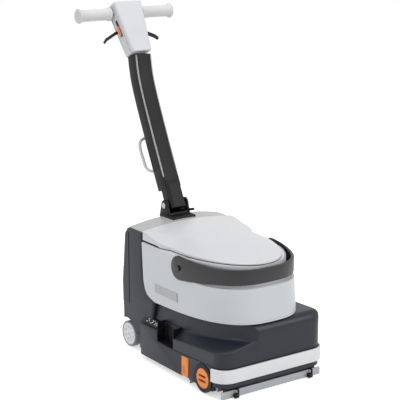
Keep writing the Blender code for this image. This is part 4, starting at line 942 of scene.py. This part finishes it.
loopSizes = {
    # (across, out from the column, along it) for one half, and the middle of the bow
    "half": [(.026, .024, .000), (.036, .034, .006), (.040, .046, .020), (.041, .050, .055),
             (.041, .050, .095), (.034, .050, .117), (.018, .050, .127)],
    "middle": (0, .050, .129), "base": (.045, .600), "lean": (.47, .883), "radius": .0055,
}


def makeLoop():
    # the carrying loop behind the column: an open bow of round bar
    s = loopSizes
    base, lean = s["base"], s["lean"]
    outline = [(-x, out, along) for x, out, along in s["half"]] + [s["middle"]] + s["half"][::-1]
    points = []
    for x, out, along in outline:
        points.append(Vector((x, axleY + base[0] + lean[0] * along + lean[1] * out,
                              base[1] + lean[1] * along - lean[0] * out)))
    deselectAll()
    bpy.ops.curve.primitive_bezier_curve_add()
    bow = bpy.context.object
    spline = bow.data.splines[0]
    spline.bezier_points.add(len(points) - 2)
    for knot, place in zip(spline.bezier_points, points):
        knot.co = place
        knot.handle_left_type = knot.handle_right_type = "AUTO"
    bow.location = (0, 0, 0)
    bow.data.bevel_depth = s["radius"]
    bow.data.bevel_resolution = 4
    bow.data.resolution_u = 8
    bow.data.use_fill_caps = True
    selectOnly(bow)
    bpy.ops.object.convert(target="MESH")
    bow = bpy.context.object
    finishPiece(bow, "carry_bow", "tankPolyethylene", node="carry_loop", smooth=60)


makeColumn()
makeTrims()
makeLoop()
print("column made")

gripSizes = {"radius": .0205, "flange": .0255}


def makeGrips():
    s = gripSizes
    for side, tag in ((-1, "right"), (1, "left")):
        low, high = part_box("grip_" + tag)
        middle = (low + high) / 2
        inner, outer = sorted((abs(low.x), abs(high.x)))
        r, f = s["radius"], s["flange"]
        profile = [(inner, 0), (inner, r + .001), (inner + .001, r + .003), (inner + .008, r + .003),
                   (inner + .010, r + .0005), (inner + .014, r), (inner + .05, r - .0008),
                   (inner + .09, r - .0002), (outer - .016, r + .0003), (outer - .009, r + .0026),
                   (outer - .006, f), (outer - .0025, f), (outer - .0008, f - .0012), (outer, f - .004),
                   (outer, .012), (outer - .0012, .0108), (outer - .0012, 0)]
        grip = turnedSide(profile, side, middle.y, middle.z, steps=72)
        finishPiece(grip, "grip_sleeve_" + tag, "gripTpe", node="grip_" + tag, smooth=40)


makeGrips()
print("grips made")


# wheels

wheelSizes = {"rim": .0385, "tyre": .045, "holes": 8, "holeRadius": .0032, "holeCircle": .0225}


def makeWheels():
    s = wheelSizes
    for side, tag in ((-1, "right"), (1, "left")):
        low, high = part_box("wheel_hub_" + tag)
        centre = ((low.x + high.x) / 2, axleY, (low.z + high.z) / 2)
        half = (high.x - low.x) / 2
        disc = [(-half, 0), (-half, .012), (-half + .003, .014), (-half + .004, .030),
                (-half + .001, .033), (-half + .001, s["rim"]), (half - .001, s["rim"]),
                (half - .001, .033),
                (half - .004, .030), (half - .0035, .014), (half, .012), (half, 0)]
        hub = turnProfile(disc, centre, steps=72)
        for k in range(s["holes"]):
            turn = 2 * math.pi * (k + .5) / s["holes"]
            deselectAll()
            bpy.ops.mesh.primitive_cylinder_add(
                vertices=20, radius=s["holeRadius"], depth=.05, rotation=(0, math.pi / 2, 0),
                location=(centre[0], centre[1] + s["holeCircle"] * math.cos(turn),
                          centre[2] + s["holeCircle"] * math.sin(turn)))
            hole = bpy.context.object
            settle(hole)
            cutAway(hub, hole)
        finishPiece(hub, "wheel_disc_" + tag, "wheelNylon", node="wheel_hub_" + tag, smooth=35)
        tread = [(-half, s["rim"]), (-half, .0425), (-half + .0015, .0442), (-half + .004, s["tyre"]),
                 (half - .004, s["tyre"]), (half - .0015, .0442), (half, .0425), (half, s["rim"]),
                 (-half, s["rim"])]
        tyre = turnProfile(tread, centre, steps=72)
        finishPiece(tyre, "wheel_tread_" + tag, "tyrePolyurethane", node="wheel_tyre_" + tag,
                    smooth=40)


makeWheels()
print("wheels made")


# small details

markSizes = {
    "panelThick": .0016, "proud": .0017, "thick": .0004,
    # place along and across the panel, then size along and across, all as shares of the panel
    "marks": [(.16, .30, .10, .05), (.16, .62, .10, .05), (.24, .46, .05, .10),
              (.44, .28, .09, .05), (.44, .66, .05, .05), (.50, .46, .05, .16),
              (.56, .66, .05, .05), (.72, .30, .05, .05), (.72, .50, .12, .05),
              (.72, .70, .05, .05), (.84, .40, .05, .22)],
}


def makeMarks():
    # three groups of plain printed marks on the status panel
    s = markSizes
    low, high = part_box("status_panel")
    slopeRise = (high.z - low.z - s["panelThick"]) / (high.x - low.x)
    for k, (along, across, long, wide) in enumerate(s["marks"]):
        y = high.y - (high.y - low.y) * along
        x = low.x + (high.x - low.x) * across
        dy, dx = (high.y - low.y) * long / 2, (high.x - low.x) * wide / 1.2
        z = low.z + s["proud"] + (x - low.x) * slopeRise
        rows = [[Vector((x - dx, y + dy * t, z - dx * slopeRise)),
                 Vector((x + dx, y + dy * t, z + dx * slopeRise))] for t in (-1, 0, 1)]
        mark = openSheet(rows)
        applyModifier(mark, "SOLIDIFY", thickness=s["thick"], offset=0)
        finishPiece(mark, f"status_mark_{k:02d}", "printWhite", body="chassis", slot="status_lens")


bossSizes = {"radius": .0092, "deep": .010}


def makeBosses():
    # smooth caps over the bail's two pivots
    s = bossSizes
    for side, tag in ((-1, "right"), (1, "left")):
        low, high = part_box("bail_pin_" + tag)
        outer = max(abs(low.x), abs(high.x))
        profile = [(outer - s["deep"], 0), (outer - s["deep"], s["radius"]),
                   (outer - .0012, s["radius"]), (outer - .0003, .0080), (outer, .0060), (outer, 0)]
        boss = turnedSide(profile, side, (low.y + high.y) / 2, (low.z + high.z) / 2, steps=48)
        finishPiece(boss, "bail_boss_" + tag, "bailNylon", node="bail_pin_" + tag, smooth=40)


padSizes = {"half": .047, "front": .082, "back": -.006, "low": .4425, "high": .4556, "edge": .004}


def makePad():
    # black pad between the bracket and the top plate
    s = padSizes
    pad = cutterBox(worldPoint(-s["half"], s["front"], s["low"]),
                    worldPoint(s["half"], s["back"], s["high"]), edge=s["edge"])
    finishPiece(pad, "bracket_pad", "blackNylon", body="chassis", slot="black_nylon", smooth=40)


makeMarks()
makeBosses()
makePad()
print("details made")


# what still shows of the CAD model keeps its shape and gets a real finish

plainFinish = {
    "charcoal_abs": "charcoalAbs", "side_panel_abs": "panelAbs",
    "tank_polyethylene": "tankPolyethylene", "lid_abs": "lidAbs",
    "tub_polyethylene": "tubPolyethylene", "bumper_tpe": "bumperTpe", "orange_abs": "orangeAbs",
    "black_nylon": "blackNylon", "status_lens": "statusAcrylic", "black_rubber": "blackRubber",
    "grey_polyurethane": "bladePolyurethane", "nylon_bristle": "bristleNylon",
    "zinc_steel": "zincSteel", "silver_strip": "silverStrip", "wheel_nylon": "wheelNylon",
    "grip_tpe": "gripTpe", "head_abs": "headAbs", "column_powder_coat": "powderCoat",
    "bail_nylon": "bailNylon", "cast_aluminium": "castAluminium", "battery_case": "batteryCase",
    "controller_case": "controllerCase", "pvc_hose": "hosePvc",
}
for nodeName, node in frame["nodes"].items():
    if node.hide_render:
        continue
    slotName = slotOf(nodeName)
    node.data.materials.clear()
    node.data.materials.append(finishes[plainFinish[slotName]])
print("frame nodes finished")


# floor, light and camera

stageSizes = {"floor": 14.0}
deselectAll()
bpy.ops.mesh.primitive_grid_add(x_subdivisions=2, y_subdivisions=2, size=stageSizes["floor"],
                                location=(0, 0, -.0004))
floor = bpy.context.object
floor.name = "studio_floor"
floorPaint = bpy.data.materials.new("studioPaper")
floorPaint.use_nodes = True
tree = floorPaint.node_tree
paper = tree.nodes["Principled BSDF"]
paper.inputs["Base Color"].default_value = (.93, .93, .93, 1)
paper.inputs["Roughness"].default_value = .9
floorPath = addNode(tree, "ShaderNodeLightPath")
floorSeen = addNode(tree, "ShaderNodeMath", {"operation": "MAXIMUM"},
                    {0: floorPath.outputs["Is Camera Ray"], 1: floorPath.outputs["Is Glossy Ray"]})
floorLift = addNode(tree, "ShaderNodeMath", {"operation": "MULTIPLY", 1: .50},
                    {0: floorSeen.outputs[0]})
tree.links.new(floorLift.outputs[0], paper.inputs["Emission Strength"])
paper.inputs["Emission Color"].default_value = (1, 1, 1, 1)
floor.data.materials.append(floorPaint)

world = bpy.data.worlds.new("studioAir")
bpy.context.scene.world = world
world.use_nodes = True
tree = world.node_tree
tree.nodes.clear()
path = addNode(tree, "ShaderNodeLightPath")
seen = addNode(tree, "ShaderNodeMath", {"operation": "MAXIMUM"},
               {0: path.outputs["Is Camera Ray"], 1: path.outputs["Is Glossy Ray"]})
seenAll = addNode(tree, "ShaderNodeMath", {"operation": "MAXIMUM"},
                  {0: seen.outputs[0], 1: path.outputs["Is Transmission Ray"]})
fill = addNode(tree, "ShaderNodeBackground", {"Color": (1, 1, 1, 1), "Strength": .50})
white = addNode(tree, "ShaderNodeBackground", {"Color": (1, 1, 1, 1), "Strength": 1})
both = addNode(tree, "ShaderNodeMixShader", None,
               {0: seenAll.outputs[0], 1: fill.outputs[0], 2: white.outputs[0]})
addNode(tree, "ShaderNodeOutputWorld", None, {"Surface": both.outputs[0]})

lampSizes = [
    # name, place, target, size, watts
    ("softboxFront", (1.9, -3.2, 2.4), (0, 0, .4), 2.0, 52),
    ("softboxTop", (-.4, .2, 3.6), (0, 0, .3), 2.4, 44),
    ("softboxLeft", (-3.6, -.8, 1.7), (0, 0, .4), 1.8, 22),
]
for lampName, place, target, size, watts in lampSizes:
    deselectAll()
    bpy.ops.object.light_add(type="AREA", location=place)
    lamp = bpy.context.object
    lamp.name = lampName
    lamp.data.shape = "DISK"
    lamp.data.size = size
    lamp.data.energy = watts
    lamp.rotation_euler = (Vector(target) - Vector(place)).to_track_quat("-Z", "Y").to_euler()

cameraSizes = {"place": (-2.3271, -3.3860, 1.5477), "yaw": -34.8, "pitch": 76.0, "lens": 113.3}
deselectAll()
bpy.ops.object.camera_add(location=cameraSizes["place"],
                          rotation=(math.radians(cameraSizes["pitch"]), 0,
                                    math.radians(cameraSizes["yaw"])))
camera = bpy.context.object
camera.data.sensor_width = 36
camera.data.lens = cameraSizes["lens"]
bpy.context.scene.camera = camera
bpy.context.scene.view_settings.view_transform = "Standard"
